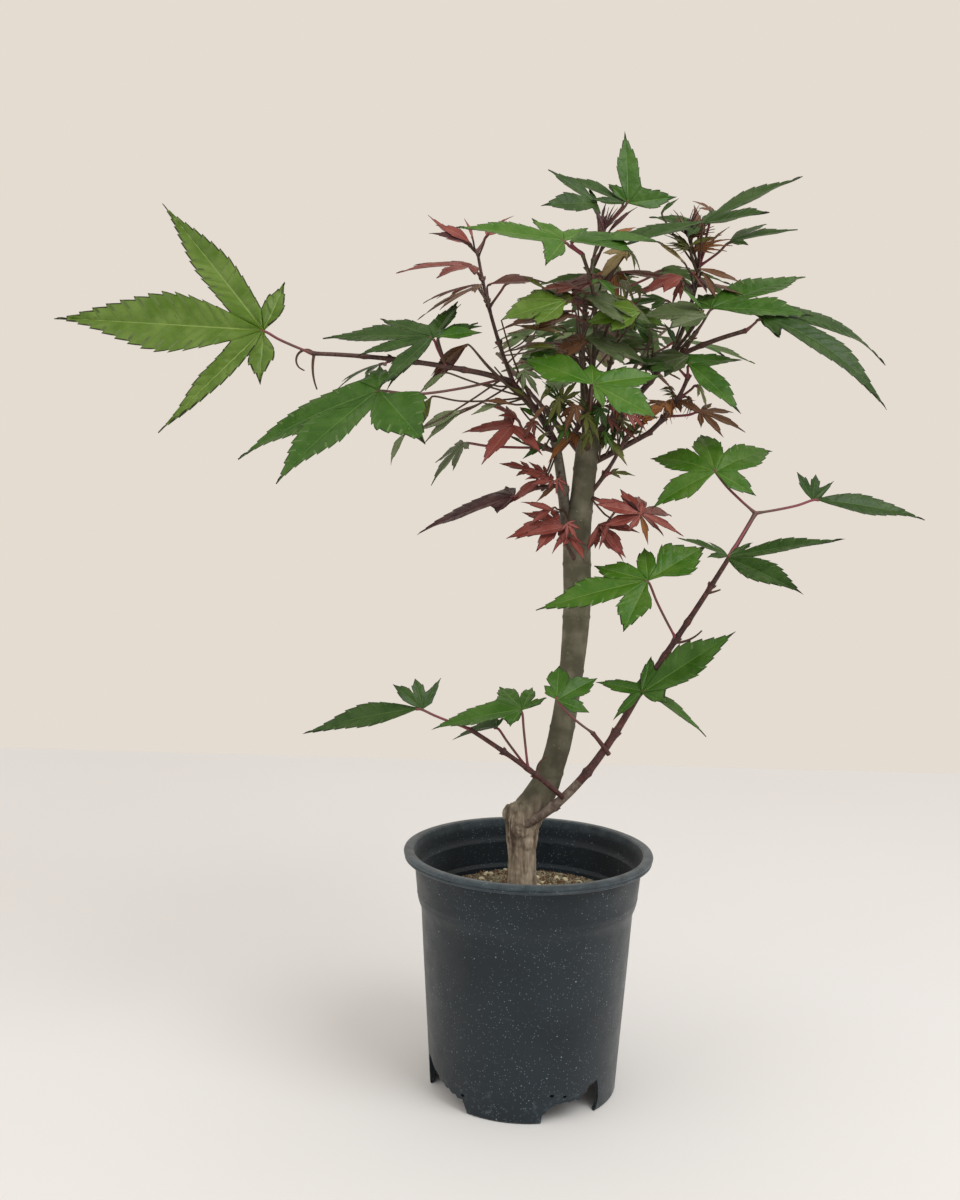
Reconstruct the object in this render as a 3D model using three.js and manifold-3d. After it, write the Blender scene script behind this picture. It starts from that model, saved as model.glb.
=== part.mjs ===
// Potted Japanese maple: a young grafted plant in a round plastic nursery pot.
// Millimetres, +Z up, front towards -Y. Every place below is measured from the ground under the
// pot's centre; the last step moves the whole plant so that the origin is under its middle.
// Headings are degrees round Z: 0 is right (+X), 90 is back (+Y), 180 is left, 270 is the front.

import * as THREE from "three";
import { mergeVertices } from "three/addons/utils/BufferGeometryUtils.js";
import Module from "manifold-3d";

const wasm = await Module();
wasm.setup();

// Clearance kept where one piece rests on another, and how far a surface may be evened out
const SEAT = 0.3;
const MESH_TOLERANCE = 0.05;

// Pot: a tapered wall with a collar and a flat rim, standing on a thin skirt with four notches
const POT_HEIGHT = 116;
const RIM_RADIUS = 60;
const RIM_DEPTH = 4.2;
const RIM_ROUND = 1.4;
const MOUTH_RADIUS = 54.8;
const COLLAR_TOP_RADIUS = 54.8;
const COLLAR_FOOT_RADIUS = 52.8;
const COLLAR_FOOT_HEIGHT = 92;
const BODY_TOP_RADIUS = 51;
const BODY_TOP_HEIGHT = 87;
const FOOT_RADIUS = 45.3;
const WALL = 1.7;
const FLOOR_HEIGHT = 17.5;
const FLOOR_THICKNESS = 3;
const FOOT_INNER_RADIUS = 43.1;
const POT_SIDES = 36;
const NOTCH_BACK_RADIUS = 38;
const NOTCH_ROUND = 3;
// Notches: heading, width, and the height of the left and right side as seen from outside.
// The last two are torn.
const NOTCHES = [
  [29, 31, 10, 10],
  [119, 31, 10, 10],
  [299, 31, 10, 15],
  [211.5, 35, 16.5, 7],
];

// Soil: fills the pot to a little below the collar, is flat where the trunk stands
// and rises a little before it falls off at the wall
const SOIL_HEIGHT = 89.5;
const SOIL_FLAT_RADIUS = 12;
const SOIL_SWELL = 0.8;
const SOIL_EDGE = 12;
const SOIL_WALL_GAP = 0.4;

// Trunk: height, centre to the right, radius, from the soil to the cut top.
// A short old stump kinks to the right into the leader that was grafted on it.
const TRUNK = [
  [SOIL_HEIGHT, -2.5, 9],
  [96, -2.7, 7.4],
  [112, -3, 6.9],
  [124, -3.2, 7.8],
  [131, -2.4, 9],
  [138, 1.5, 9.2],
  [146, 6.2, 8],
  [155, 9.8, 6.3],
  [170, 13.8, 6],
  [200, 18, 5.8],
  [232, 20, 6.6],
  [262, 19, 6.8],
  [274, 18.6, 7],
  [286, 21, 5.5],
  [302, 22.2, 5.6],
  [316, 23.4, 5.6],
];
const TRUNK_SIDES = 12;
const STUMP_STUB = {
  start: [-5, -1, 128], heading: [200, 200], rise: [68, 62], length: 13, radius: [4.8, 3.2],
};

// Boughs. Each is one tapering limb: its foot is at start, or at the tip of the limb named in from.
// heading and rise turn from the first value to the second along the length.
const BOUGHS = {
  left_stem: {
    on: "trunk", start: [14.5, 0, 266], heading: [205, 212], rise: [84, 76], length: 46, radius: [3, 2.5],
  },
  low_bough: {
    on: "trunk", start: [-6, -5, 127], heading: [330, 368], rise: [28, 61], length: 91,
    radius: [2.7, 1.9], settle: 2,
  },
  left_bough: { from: "left_stem", heading: [196, 184], rise: [58, 44], length: 35, radius: [2, 1.6] },
  middle_bough: {
    on: "left_stem", start: [9, -3, 307], heading: [352, 262], rise: [44, 84], length: 48, radius: [1.7, 1.4],
  },
  right_bough: {
    on: "trunk", start: [23, 2, 311], heading: [8, -6], rise: [40, 58], length: 62, radius: [2, 1.5],
  },
  right_low_bough: {
    on: "trunk", start: [22, 1, 300], heading: [2, 0], rise: [28, 30], length: 35, radius: [1.7, 1.4],
  },
  back_bough: {
    on: "trunk", start: [23, 1, 308], heading: [82, 96], rise: [46, 30], length: 58, radius: [2, 1.5],
  },
  back_left_bough: {
    on: "trunk", start: [22, 1, 303], heading: [140, 120], rise: [46, 32], length: 54, radius: [1.8, 1.4],
  },
  back_right_bough: {
    on: "trunk", start: [22, 1, 296], heading: [52, 62], rise: [52, 44], length: 62, radius: [1.8, 1.4],
  },
};
const BOUGH_SIDES = 6;
const STEM_SIDES = 5;
const STALK_SIDES = 3;
const STEP = 12;
const LEAST_ACROSS = 0.1;

// Leaf patterns: each lobe's angle from the middle lobe and its share of the leaf's length, from the
// right to the left. Even patterns are given by their left half. Then half the widest part of a lobe
// (a lobe may have its own) and the depth of the palm that joins the lobes, as shares of the lobe.
// A cup value raises the sides.
const KINDS = {
  broad: { lobes: even([0, 1], [50, 0.78], [100, 0.24]), width: 0.12, palm: 0.26 },
  cross: { lobes: even([0, 1], [70, 0.7], [126, 0.42]), width: 0.16, palm: 0.34 },
  arrow: { lobes: even([0, 1], [62, 0.36], [112, 0.26]), width: 0.12, palm: 0.46, cup: 0.45 },
  slim: { lobes: even([0, 1], [38, 0.8], [74, 0.5]), width: 0.12, palm: 0.28 },
  tiny: { lobes: even([0, 1], [44, 0.55]), width: 0.15, palm: 0.34 },
  far: {
    lobes: [[-105, 0.25, 0.16], [-48, 0.91, 0.1], [0, 1], [52, 0.66, 0.12], [93, 0.22, 0.16]],
    width: 0.15, palm: 0.28,
  },
  hung: { lobes: [[-128, 0.35], [-29, 1.14], [0, 1], [79, 0.68]], width: 0.12, palm: 0.28 },
  star: {
    lobes: [[-136, 0.42], [-94, 0.63], [-26, 0.64], [0, 1], [28, 0.64], [70, 0.73]],
    width: 0.11, palm: 0.28,
  },
  top: { lobes: [[-119, 0.5], [-52, 0.51], [0, 1], [72, 0.54]], width: 0.16, palm: 0.34 },
  crest_left: { lobes: [[-95, 0.3], [-49, 0.82], [0, 1], [60, 0.3]], width: 0.14, palm: 0.3 },
  crest_top: { lobes: [[-79, 0.73], [0, 1], [46, 0.36]], width: 0.15, palm: 0.34 },
  crest_back: { lobes: [[-39, 0.45], [0, 1], [41, 0.52]], width: 0.14, palm: 0.32 },
  fork: { lobes: [[-46, 0.68], [0, 1], [48, 0.3]], width: 0.15, palm: 0.32 },
  high_fork: { lobes: [[-50, 0.36], [0, 1], [38, 0.86]], width: 0.15, palm: 0.32 },
  right: { lobes: [[-46, 0.83], [0, 1], [72, 0.32], [120, 0.3]], width: 0.14, palm: 0.3 },
  drooping: { lobes: [[-34, 0.24], [0, 1], [37, 0.94], [137, 0.41]], width: 0.13, palm: 0.3 },
  elbow: { lobes: [[-76, 1.36], [0, 1], [131, 0.68]], width: 0.15, palm: 0.3 },
  front: { lobes: [[-85, 0.42], [-46, 1.01], [0, 1], [75, 0.39], [135, 1.06]], width: 0.16, palm: 0.32 },
  low_top: { lobes: [[-133, 0.67], [-63, 1.16], [0, 1], [48, 1.13], [105, 1.03]], width: 0.16, palm: 0.3 },
  low_outer: { lobes: [[-51, 0.93], [0, 1], [40, 0.3]], width: 0.14, palm: 0.3 },
  low_middle: {
    lobes: [[-152, 0.62], [-98, 0.41], [-34, 0.51], [0, 1], [55, 0.53]],
    width: 0.16, palm: 0.34,
  },
  low_inner: { lobes: [[-57, 0.24], [0, 1], [44, 0.36]], width: 0.15, palm: 0.36 },
  talon: { lobes: [[-84, 0.68], [0, 1], [62, 0.8]], width: 0.12, palm: 0.26 },
  lance: { lobes: [[0, 1]], width: 0.12, palm: 0.2 },
  ridge: { lobes: [[-150, 0.35], [-112, 0.5], [-71, 0.6], [0, 1], [56, 0.3]], width: 0.16, palm: 0.42 },
  crown: { lobes: [[-54, 1.12, 0.07], [-14, 0.9, 0.17], [24, 1.05, 0.16]], width: 0.16, palm: 0.5 },
  knee: { lobes: [[-110, 0.73], [-50, 1.11], [0, 1], [38, 0.47]], width: 0.16, palm: 0.36 },
  dark: { lobes: [[-79, 0.37], [0, 1], [50, 0.3]], width: 0.14, palm: 0.4 },
  claw: { lobes: [[-140, 0.6], [-60, 0.83], [0, 1], [63, 0.84]], width: 0.13, palm: 0.28 },
};
const WIDEST = 0.5;
const HEEL_ANGLE = 24;
const HEEL_SHARE = 0.6;
const HEEL_BACK = 0.02;
const RIB_THICKNESS = 0.026;
const LEAST_THICKNESS = 0.8;
const SMALL_LEAF = 60;
const FOLD = 0.22;
const STALK_RADIUS = 0.8;
const STALK_SINK = 2;
const BLADE_STEP = 1.4;

// Leaf sprays. Each grows from one stem that starts on a limb or 0.3 mm past its tip.
// A leaf is: pattern, place along the stem, stalk length, stalk heading and rise,
// blade length, blade heading, rise and roll, and the bend along its lobes.
// Lobes that hang another way follow as a blade of their own on the same stalk.
const SPRAYS = {
  far_left_spray: {
    from: "left_bough", heading: [202, 186], rise: [10, 0], length: 92, radius: [1.5, 1],
    leaves: [
      ["far", 1, 23, 189, 23, 98, 176, 5, -68, 8],
      ["star", 0.34, 17, 242, 43, 54, 165, 5, -39, 8],
      ["hung", 0.03, 62, 205, -8, 62, 207, -35, -28, 12],
      ["slim", 0.62, 14, 110, -5, 26, 160, -12, -10, 25],
    ],
  },
  upper_left_spray: {
    on: "left_bough", start: [-12, -5, 336], heading: [128, 130], rise: [56, 74], length: 72,
    radius: [1.3, 0.9],
    leaves: [
      ["tiny", 1, 7, 180, 37, 22, 180, 20, -30, -30],
      ["tiny", 1, 9, 20, 60, 13, 20, 44, 30, 10],
      ["slim", 0.8, 9, 146, 50, 38, 200, 10, -17, 18],
      ["slim", 0.64, 10, 217, 47, 27, 192, -14, -8, 12],
      ["tiny", 0.6, 15, 320, 46, 20, 4, 8, 12, 15],
    ],
  },
  top_left_spray: {
    from: "middle_bough", heading: [285, 200], rise: [80, 64], length: 46, radius: [1.2, 0.9],
    leaves: [
      ["top", 1, 10, 175, 33, 48, 182, 8, -35, 4],
      ["slim", 1, 8, 186, 40, 42, 4, 6, 14, 8],
      ["tiny", 0.72, 2, 30, 80, 12, 0, 84, 0, 5],
      ["tiny", 0.72, 5, 300, 10, 17, 300, -25, 0, 20],
      ["slim", 0.5, 10, 200, 20, 26, 190, -10, -16, 25],
      ["slim", 0.3, 12, 200, 20, 32, 188, -6, -30, 12],
      ["slim", 0.62, 12, 210, 30, 28, 185, 0, -30, 10],
    ],
  },
  crest_spray: {
    on: "trunk", start: [22, 3, 308], heading: [140, 20], rise: [84, 76], length: 104, radius: [1.6, 0.9],
    leaves: [
      ["crest_left", 1, 14, 252, 62, 34, 221, -5, -56, 6],
      ["crest_top", 1, 19, 350, 47, 35, 100, 83, 1, 4],
      ["crest_back", 1, 18, 348, 50, 35, 176, 28, -38, 10],
      ["tiny", 1, 4, 40, 75, 12, 20, 80, 0, 0],
      ["slim", 0.72, 16, 350, 40, 24, 190, -62, -30, 10],
      ["slim", 0.72, 18, 340, 45, 26, 10, -55, 30, 10],
      ["slim", 0.45, 14, 210, 10, 28, 200, -6, -12, 22],
      ["slim", 0.62, 14, 230, 30, 30, 200, -4, -30, 12],
      ["slim", 0.56, 14, 320, 30, 32, 340, -8, 26, 14],
      ["slim", 0.78, 12, 215, 35, 28, 195, -4, -24, 14],
      ["tiny", 0.87, 12, 330, 50, 18, 30, 34, 24, 10],
      ["slim", 0.68, 20, 330, 40, 34, 350, -4, 26, 12],
      ["slim", 0.38, 16, 222, 20, 30, 205, -10, -30, 14],
    ],
  },
  upper_right_spray: {
    from: "right_bough", heading: [25, 10], rise: [66, 84], length: 38, radius: [1.4, 1],
    leaves: [
      ["fork", 1, 20, 265, 60, 51, -1, 30, 26, 4, ["fork", 43, 183, -6, -32, 6]],
      ["high_fork", 1, 17, 342, 38, 32, 355, 16, 28, 6],
      ["tiny", 1, 26, 10, 78, 12, 150, 40, -20, 20],
      ["slim", 0.76, 5, 330, 0, 26, 0, -2, 16, 16],
      ["slim", 0.76, 8, 190, 5, 26, 180, -10, -16, 20],
      ["tiny", 1, 8, 330, 70, 15, 350, 50, 20, 10],
      ["tiny", 1, 14, 240, 80, 15, 120, 80, 0, 10],
      ["tiny", 0.4, 14, 206, 24, 24, 190, -6, -30, 12],
    ],
  },
  right_spray: {
    on: "right_bough", start: [58, 4, 349], heading: [318, 338], rise: [24, 14], length: 42, radius: [1.3, 1],
    leaves: [
      ["drooping", 1, 9, 311, -5, 71, 328, -10, 32, 50],
      ["right", 0.26, 24, 317, 54, 55, 20, 25, 22, 10],
    ],
  },
  lower_right_spray: {
    from: "right_low_bough", heading: [346, 300], rise: [46, 62], length: 32, radius: [1.2, 0.9],
    leaves: [
      ["elbow", 0.95, 8, 260, 46, 28, 14, 12, 35, 12],
      ["slim", 0.3, 16, 350, 8, 23, 346, -16, 34, 16],
      ["slim", 0.95, 9, 205, 40, 25, 196, 4, -14, 20],
      ["tiny", 0.6, 12, 10, 38, 14, 0, -60, 30, 20],
      ["tiny", 0.35, 8, 250, 40, 20, 232, -20, -20, 30],
      ["tiny", 0.25, 10, 330, 50, 16, 320, -10, 30, 30],
    ],
  },
  front_spray: {
    on: "trunk", start: [22.5, 0, 305], heading: [268, 266], rise: [32, 40], length: 30, radius: [1.3, 1],
    leaves: [
      ["front", 1, 17, 272, 50, 31, 9, 13, 54, 8],
      ["tiny", 0.5, 6, 200, 20, 20, 205, -34, -20, 20],
      ["tiny", 0.5, 6, 340, 20, 20, 335, -40, 20, 20],
    ],
  },
  red_left_spray: {
    on: "left_stem", start: [9, -3, 306], heading: [206, 212], rise: [16, 26], length: 18, radius: [1.2, 1],
    leaves: [
      ["claw", 1, 9, 187, 39, 29, 233, -35, -16, 8],
      ["slim", 0.4, 38, 184, 2, 25, 193, -48, -12, 4],
      ["tiny", 1, 10, 180, 60, 20, 175, 30, -20, 10],
    ],
  },
  dark_red_spray: {
    on: "left_stem", start: [11.5, -2, 291], heading: [205, 200], rise: [-4, -8], length: 14,
    radius: [1.1, 0.9],
    leaves: [
      ["dark", 1, 11, 195, -23, 49, 176, -16, -22, 10],
      ["tiny", 0.7, 10, 170, 50, 15, 178, 14, -40, 10],
    ],
  },
  left_sprig: {
    on: "trunk", start: [19.5, -2, 254], heading: [250, 215], rise: [30, 58], length: 16, radius: [1.1, 0.8],
    leaves: [
      ["slim", 1, 5, 200, 50, 23, 190, -8, -34, 14],
      ["tiny", 1, 4, 300, 40, 17, 300, -30, 0, 16],
    ],
  },
  right_sprig: {
    on: "trunk", start: [20, -1, 258], heading: [320, 340], rise: [34, 62], length: 18, radius: [1.1, 0.8],
    leaves: [
      ["tiny", 1, 5, 240, 28, 22, 311, -40, 55, 11],
      ["slim", 1, 19, 340, 24, 31, 46, 6, 38, 20],
      ["tiny", 1, 16, 30, 50, 22, 40, -6, 10, 20],
    ],
  },
  twig_sprig: {
    on: "trunk", start: [22, -1, 284], heading: [350, 346], rise: [50, 66], length: 34, radius: [1.1, 0.8],
    leaves: [
      ["tiny", 0.45, 3, 330, 20, 12, 0, 2, 30, 10],
      ["tiny", 1, 3, 340, 60, 14, 10, 40, 30, 10],
    ],
  },
  low_left_spray: {
    on: "low_bough", start: [15, -14, 145], heading: [214, 180], rise: [40, 32], length: 58, radius: [1.3, 1],
    leaves: [
      ["lance", 1, 25, 179, 21, 57, 180, -8, -40, 20, ["crown", 17, 147, 60, -35, 8]],
      ["ridge", 0.42, 30, 243, 74, 42, 184, -7, -24, 8],
      ["arrow", 0.42, 24, 172, 52, 26, 150, -14, -20, 10],
    ],
  },
  low_knee_spray: {
    on: "low_bough", start: [36, -14, 166], heading: [208, 200], rise: [52, 48], length: 14,
    radius: [1.2, 0.9],
    leaves: [
      ["knee", 1, 38, 235, 31, 21, 86, 47, 2, 10],
    ],
  },
  low_right_spray: {
    from: "low_bough", heading: [2, -28], rise: [57, 62], length: 98, radius: [1.7, 1],
    leaves: [
      [
        "low_inner", 0.02, 5, 258, -23, 52, -2, 36, 55, 6,
        ["talon", 24, 157, 9, -51, 10],
        ["lance", 37, 349, -23, 21, 24],
      ],
      ["low_middle", 0.3, 33, 212, 57, 53, 180, -12, -46, 8],
      [
        "low_outer", 1, 32, 231, -38, 51, -15, 15, 27, 8,
        ["tiny", 24, 178, 24, -20, 8],
      ],
      ["low_top", 1, 26, 170, 44, 32, 103, 51, -17, 30],
      ["lance", 1, 30, 13, 13, 54, 0, -1, 45, 14, ["crown", 13, 112, 77, -6, 4]],
      ["slim", 0.62, 22, 80, 30, 46, 80, -10, 0, 20],
      ["slim", 0.3, 24, 60, 20, 44, 50, -14, 0, 22],
    ],
  },
  back_spray: {
    from: "back_bough", heading: [94, 104], rise: [30, 14], length: 70, radius: [1.4, 0.9],
    seed: 11, pairs: 3,
  },
  back_left_spray: {
    from: "back_left_bough", heading: [112, 100], rise: [30, 14], length: 60, radius: [1.4, 0.9],
    seed: 23, pairs: 3,
  },
  back_right_spray: {
    from: "back_right_bough", heading: [70, 60], rise: [34, 22], length: 70, radius: [1.4, 0.9],
    seed: 37, pairs: 3,
  },
  back_top_spray: {
    on: "trunk", start: [24, 3, 309], heading: [46, 64], rise: [72, 62], length: 86, radius: [1.5, 0.9],
    seed: 51, pairs: 3,
  },
};

// Seeded leaves stand in opposite pairs, on stalks that lean out from the stem
const PAIR_FROM = 0.34;
const PAIR_STALK = [16, 30];
const PAIR_SPREAD = [48, 82];
const PAIR_RISE = [6, 34];
const PAIR_BLADE = [40, 62];
const PAIR_DROOP = [-16, 2];
const PAIR_ROLL = [-14, 14];
const PAIR_TURN = 12;
const PAIR_TRIES = 5;
const PAIR_CURL = [8, 20];
const PAIR_KINDS = ["broad", "broad", "cross", "slim"];
const LEAF_CLEARANCE = 1;
const SPRAY_ROUGHNESS = 0.7;

const COLOURS = {
  pot: 0x2d3338,
  soil: 0x8a6c4a,
  trunk: 0x6c6454,
  bough: 0x5a4440,
  green: 0x4a7330,
  red: 0x8c4038,
};
const RED_SPRAYS = ["red_left_spray", "dark_red_spray", "left_sprig", "right_sprig", "upper_left_spray"];

// Directions, seeded choice and blending

const radians = THREE.MathUtils.degToRad;
const blend = THREE.MathUtils.lerp;

function direction(heading, rise) {
  const h = radians(heading);
  const r = radians(rise);
  return new THREE.Vector3(Math.cos(r) * Math.cos(h), Math.cos(r) * Math.sin(h), Math.sin(r));
}

// A repeatable run of numbers from 0 to 1
function seeded(seed) {
  let state = seed * 7919 + 13;
  return () => {
    state = (state * 16807) % 2147483647;
    return state / 2147483647;
  };
}

function between(random, [low, high]) {
  return low + (high - low) * random();
}

// Joining and cutting of closed solids

function solidOf(geometry) {
  const bare = geometry.index ? geometry.toNonIndexed() : geometry.clone();
  for (const name of Object.keys(bare.attributes)) {
    if (name !== "position") bare.deleteAttribute(name);
  }
  const merged = mergeVertices(bare, 1e-4);
  return new wasm.Manifold(
    new wasm.Mesh({
      numProp: 3,
      vertProperties: merged.attributes.position.array,
      triVerts: new Uint32Array(merged.index.array),
    }),
  );
}

function joined(solids) {
  return solids.reduce((whole, solid) => whole.add(solid));
}

// The largest body alone, so loose scraps are dropped and sealed hollows are filled
function mainBody(solid) {
  const bodies = solid.decompose();
  return bodies.reduce((best, body) => (body.volume() > best.volume() ? body : best));
}

function meshOf(name, solid, colour, roughness) {
  const data = mainBody(solid).simplify(MESH_TOLERANCE).getMesh();
  const geometry = new THREE.BufferGeometry();
  geometry.setAttribute("position", new THREE.BufferAttribute(new Float32Array(data.vertProperties), 3));
  geometry.setIndex(new THREE.BufferAttribute(new Uint32Array(data.triVerts), 1));
  geometry.computeVertexNormals();
  const material = new THREE.MeshStandardMaterial({ color: colour, roughness, metalness: 0 });
  const mesh = new THREE.Mesh(geometry, material);
  mesh.name = name;
  return mesh;
}

function indexedGeometry(points, faces) {
  const places = points.flatMap((point) => point.toArray());
  const geometry = new THREE.BufferGeometry();
  geometry.setAttribute("position", new THREE.Float32BufferAttribute(places, 3));
  geometry.setIndex(faces.flat());
  return geometry;
}

// A closed solid through rings of points, all with the same count, listed from the foot to the tip
function loft(rings) {
  const sides = rings[0].length;
  const faces = [];
  for (let ring = 0; ring + 1 < rings.length; ring++) {
    for (let side = 0; side < sides; side++) {
      const here = ring * sides + side;
      const next = ring * sides + ((side + 1) % sides);
      faces.push([here, next, next + sides], [here, next + sides, here + sides]);
    }
  }
  const last = (rings.length - 1) * sides;
  for (let side = 1; side + 1 < sides; side++) {
    faces.push([0, side + 1, side], [last, last + side, last + side + 1]);
  }
  return solidOf(indexedGeometry(rings.flat(), faces));
}

// A limb of round section along a path, tapering evenly from its foot to its tip
function limb(path, [footRadius, tipRadius], sides) {
  const tangentAt = (i) =>
    path[Math.min(i + 1, path.length - 1)].clone().sub(path[Math.max(i - 1, 0)]).normalize();
  let across = new THREE.Vector3(0, 0, 1).cross(tangentAt(0));
  if (across.length() < LEAST_ACROSS) across.set(0, 1, 0);
  const rings = path.map((centre, i) => {
    const along = tangentAt(i);
    across.addScaledVector(along, -across.dot(along)).normalize();
    const up = along.clone().cross(across);
    const radius = blend(footRadius, tipRadius, i / (path.length - 1));
    return Array.from({ length: sides }, (_, side) => {
      const turn = (2 * Math.PI * side) / sides;
      return centre
        .clone()
        .addScaledVector(across, radius * Math.cos(turn))
        .addScaledVector(up, radius * Math.sin(turn));
    });
  });
  return loft(rings);
}

// The centre line of a limb: even steps while heading and rise turn from first to last value
function limbPath({ start, heading, rise, length, settle = 1 }) {
  const steps = Math.max(2, Math.round(length / STEP));
  const path = [new THREE.Vector3(...start)];
  for (let i = 0; i < steps; i++) {
    const turned = 1 - (1 - (i + 0.5) / steps) ** settle;
    const way = direction(blend(heading[0], heading[1], turned), blend(rise[0], rise[1], turned));
    path.push(path[i].clone().addScaledVector(way, length / steps));
  }
  return path;
}

// Pot and soil

function lathe(profile) {
  const points = profile.map(([radius, height]) => new THREE.Vector2(radius, height));
  return solidOf(new THREE.LatheGeometry(points, POT_SIDES).rotateX(Math.PI / 2));
}

// A cutter for one notch between two feet
function notchCutter([heading, width, leftHeight, rightHeight]) {
  const half = width / 2;
  const outline = new THREE.Shape();
  outline.moveTo(-half, -1);
  outline.lineTo(half, -1);
  outline.lineTo(half, rightHeight - NOTCH_ROUND);
  outline.quadraticCurveTo(half, rightHeight, half - NOTCH_ROUND, rightHeight);
  outline.lineTo(-half + NOTCH_ROUND, leftHeight);
  outline.quadraticCurveTo(-half, leftHeight, -half, leftHeight - NOTCH_ROUND);
  outline.closePath();
  const depth = RIM_RADIUS - NOTCH_BACK_RADIUS;
  const block = new THREE.ExtrudeGeometry(outline, { depth, bevelEnabled: false, curveSegments: 3 });
  const outward = direction(heading, 0);
  const up = new THREE.Vector3(0, 0, 1);
  const frame = new THREE.Matrix4().makeBasis(up.clone().cross(outward), up, outward);
  frame.setPosition(outward.clone().multiplyScalar(NOTCH_BACK_RADIUS));
  return solidOf(block.applyMatrix4(frame));
}

function potSolid() {
  const rimFoot = POT_HEIGHT - RIM_DEPTH;
  const innerFloor = FLOOR_HEIGHT + FLOOR_THICKNESS;
  const pot = lathe([
    [0, FLOOR_HEIGHT],
    [FOOT_INNER_RADIUS, FLOOR_HEIGHT],
    [FOOT_INNER_RADIUS, 0],
    [FOOT_RADIUS, 0],
    [BODY_TOP_RADIUS, BODY_TOP_HEIGHT],
    [COLLAR_FOOT_RADIUS, COLLAR_FOOT_HEIGHT],
    [COLLAR_TOP_RADIUS, rimFoot],
    [RIM_RADIUS - RIM_ROUND, rimFoot],
    [RIM_RADIUS, rimFoot + RIM_ROUND],
    [RIM_RADIUS, POT_HEIGHT - RIM_ROUND],
    [RIM_RADIUS - RIM_ROUND, POT_HEIGHT],
    [MOUTH_RADIUS + RIM_ROUND / 2, POT_HEIGHT],
    [MOUTH_RADIUS, POT_HEIGHT - RIM_ROUND / 2],
    [COLLAR_TOP_RADIUS - WALL, rimFoot],
    [COLLAR_FOOT_RADIUS - WALL, COLLAR_FOOT_HEIGHT],
    [BODY_TOP_RADIUS - WALL, BODY_TOP_HEIGHT],
    [FOOT_RADIUS - WALL, innerFloor],
    [0, innerFloor],
  ]);
  return NOTCHES.map(notchCutter).reduce((whole, cutter) => whole.subtract(cutter), pot);
}

function soilSolid() {
  const foot = FLOOR_HEIGHT + FLOOR_THICKNESS + SEAT;
  const gap = WALL + SOIL_WALL_GAP;
  return lathe([
    [0, foot],
    [FOOT_RADIUS - gap, foot],
    [BODY_TOP_RADIUS - gap, BODY_TOP_HEIGHT],
    [BODY_TOP_RADIUS - SOIL_EDGE, SOIL_HEIGHT + SOIL_SWELL],
    [SOIL_FLAT_RADIUS, SOIL_HEIGHT],
    [0, SOIL_HEIGHT],
  ]);
}

// Trunk: level rings, so it is cut flat at the soil and at its top. swell widens it for cutting seats.

function trunkSolid(swell) {
  const rings = TRUNK.map(([height, right, radius]) =>
    Array.from({ length: TRUNK_SIDES }, (_, side) => {
      const turn = (2 * Math.PI * side) / TRUNK_SIDES;
      return new THREE.Vector3(
        right + (radius + swell) * Math.cos(turn),
        (radius + swell) * Math.sin(turn),
        height === TRUNK.at(-1)[0] ? height + swell : height,
      );
    }),
  );
  return loft(rings).add(limb(limbPath(STUMP_STUB), STUMP_STUB.radius.map((r) => r + swell), BOUGH_SIDES));
}

// Leaves

// The lobes of an even leaf, of which the middle and left ones are given
function even(...lobes) {
  const right = lobes.slice(1).reverse().map(([angle, share]) => [-angle, share]);
  return [...right, ...lobes];
}

// Turns places on a flat leaf into places on the bent leaf in space
function leafSurface(kind, base, [size, heading, rise, roll, curl]) {
  const along = direction(heading, rise);
  const level = direction(heading + 90, 0);
  const raised = along.clone().cross(level);
  const turn = radians(roll);
  const side = level.clone().multiplyScalar(Math.cos(turn)).addScaledVector(raised, Math.sin(turn));
  const normal = along.clone().cross(side);
  const bend = radians(curl || 0.01) / size;
  const cup = KINDS[kind].cup || 0;
  return (angle, reach, offset, lift) => {
    const a = radians(angle);
    const x = reach * Math.cos(a) - offset * Math.sin(a);
    const y = reach * Math.sin(a) + offset * Math.cos(a);
    const far = Math.max(Math.hypot(x, y), 1e-6);
    const shrink = Math.sin(bend * far) / (bend * far);
    const z = lift + FOLD * Math.abs(offset) + cup * Math.abs(y) - (1 - Math.cos(bend * far)) / bend;
    return base
      .clone()
      .addScaledVector(along, x * shrink)
      .addScaledVector(side, y * shrink)
      .addScaledVector(normal, z);
  };
}

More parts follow.
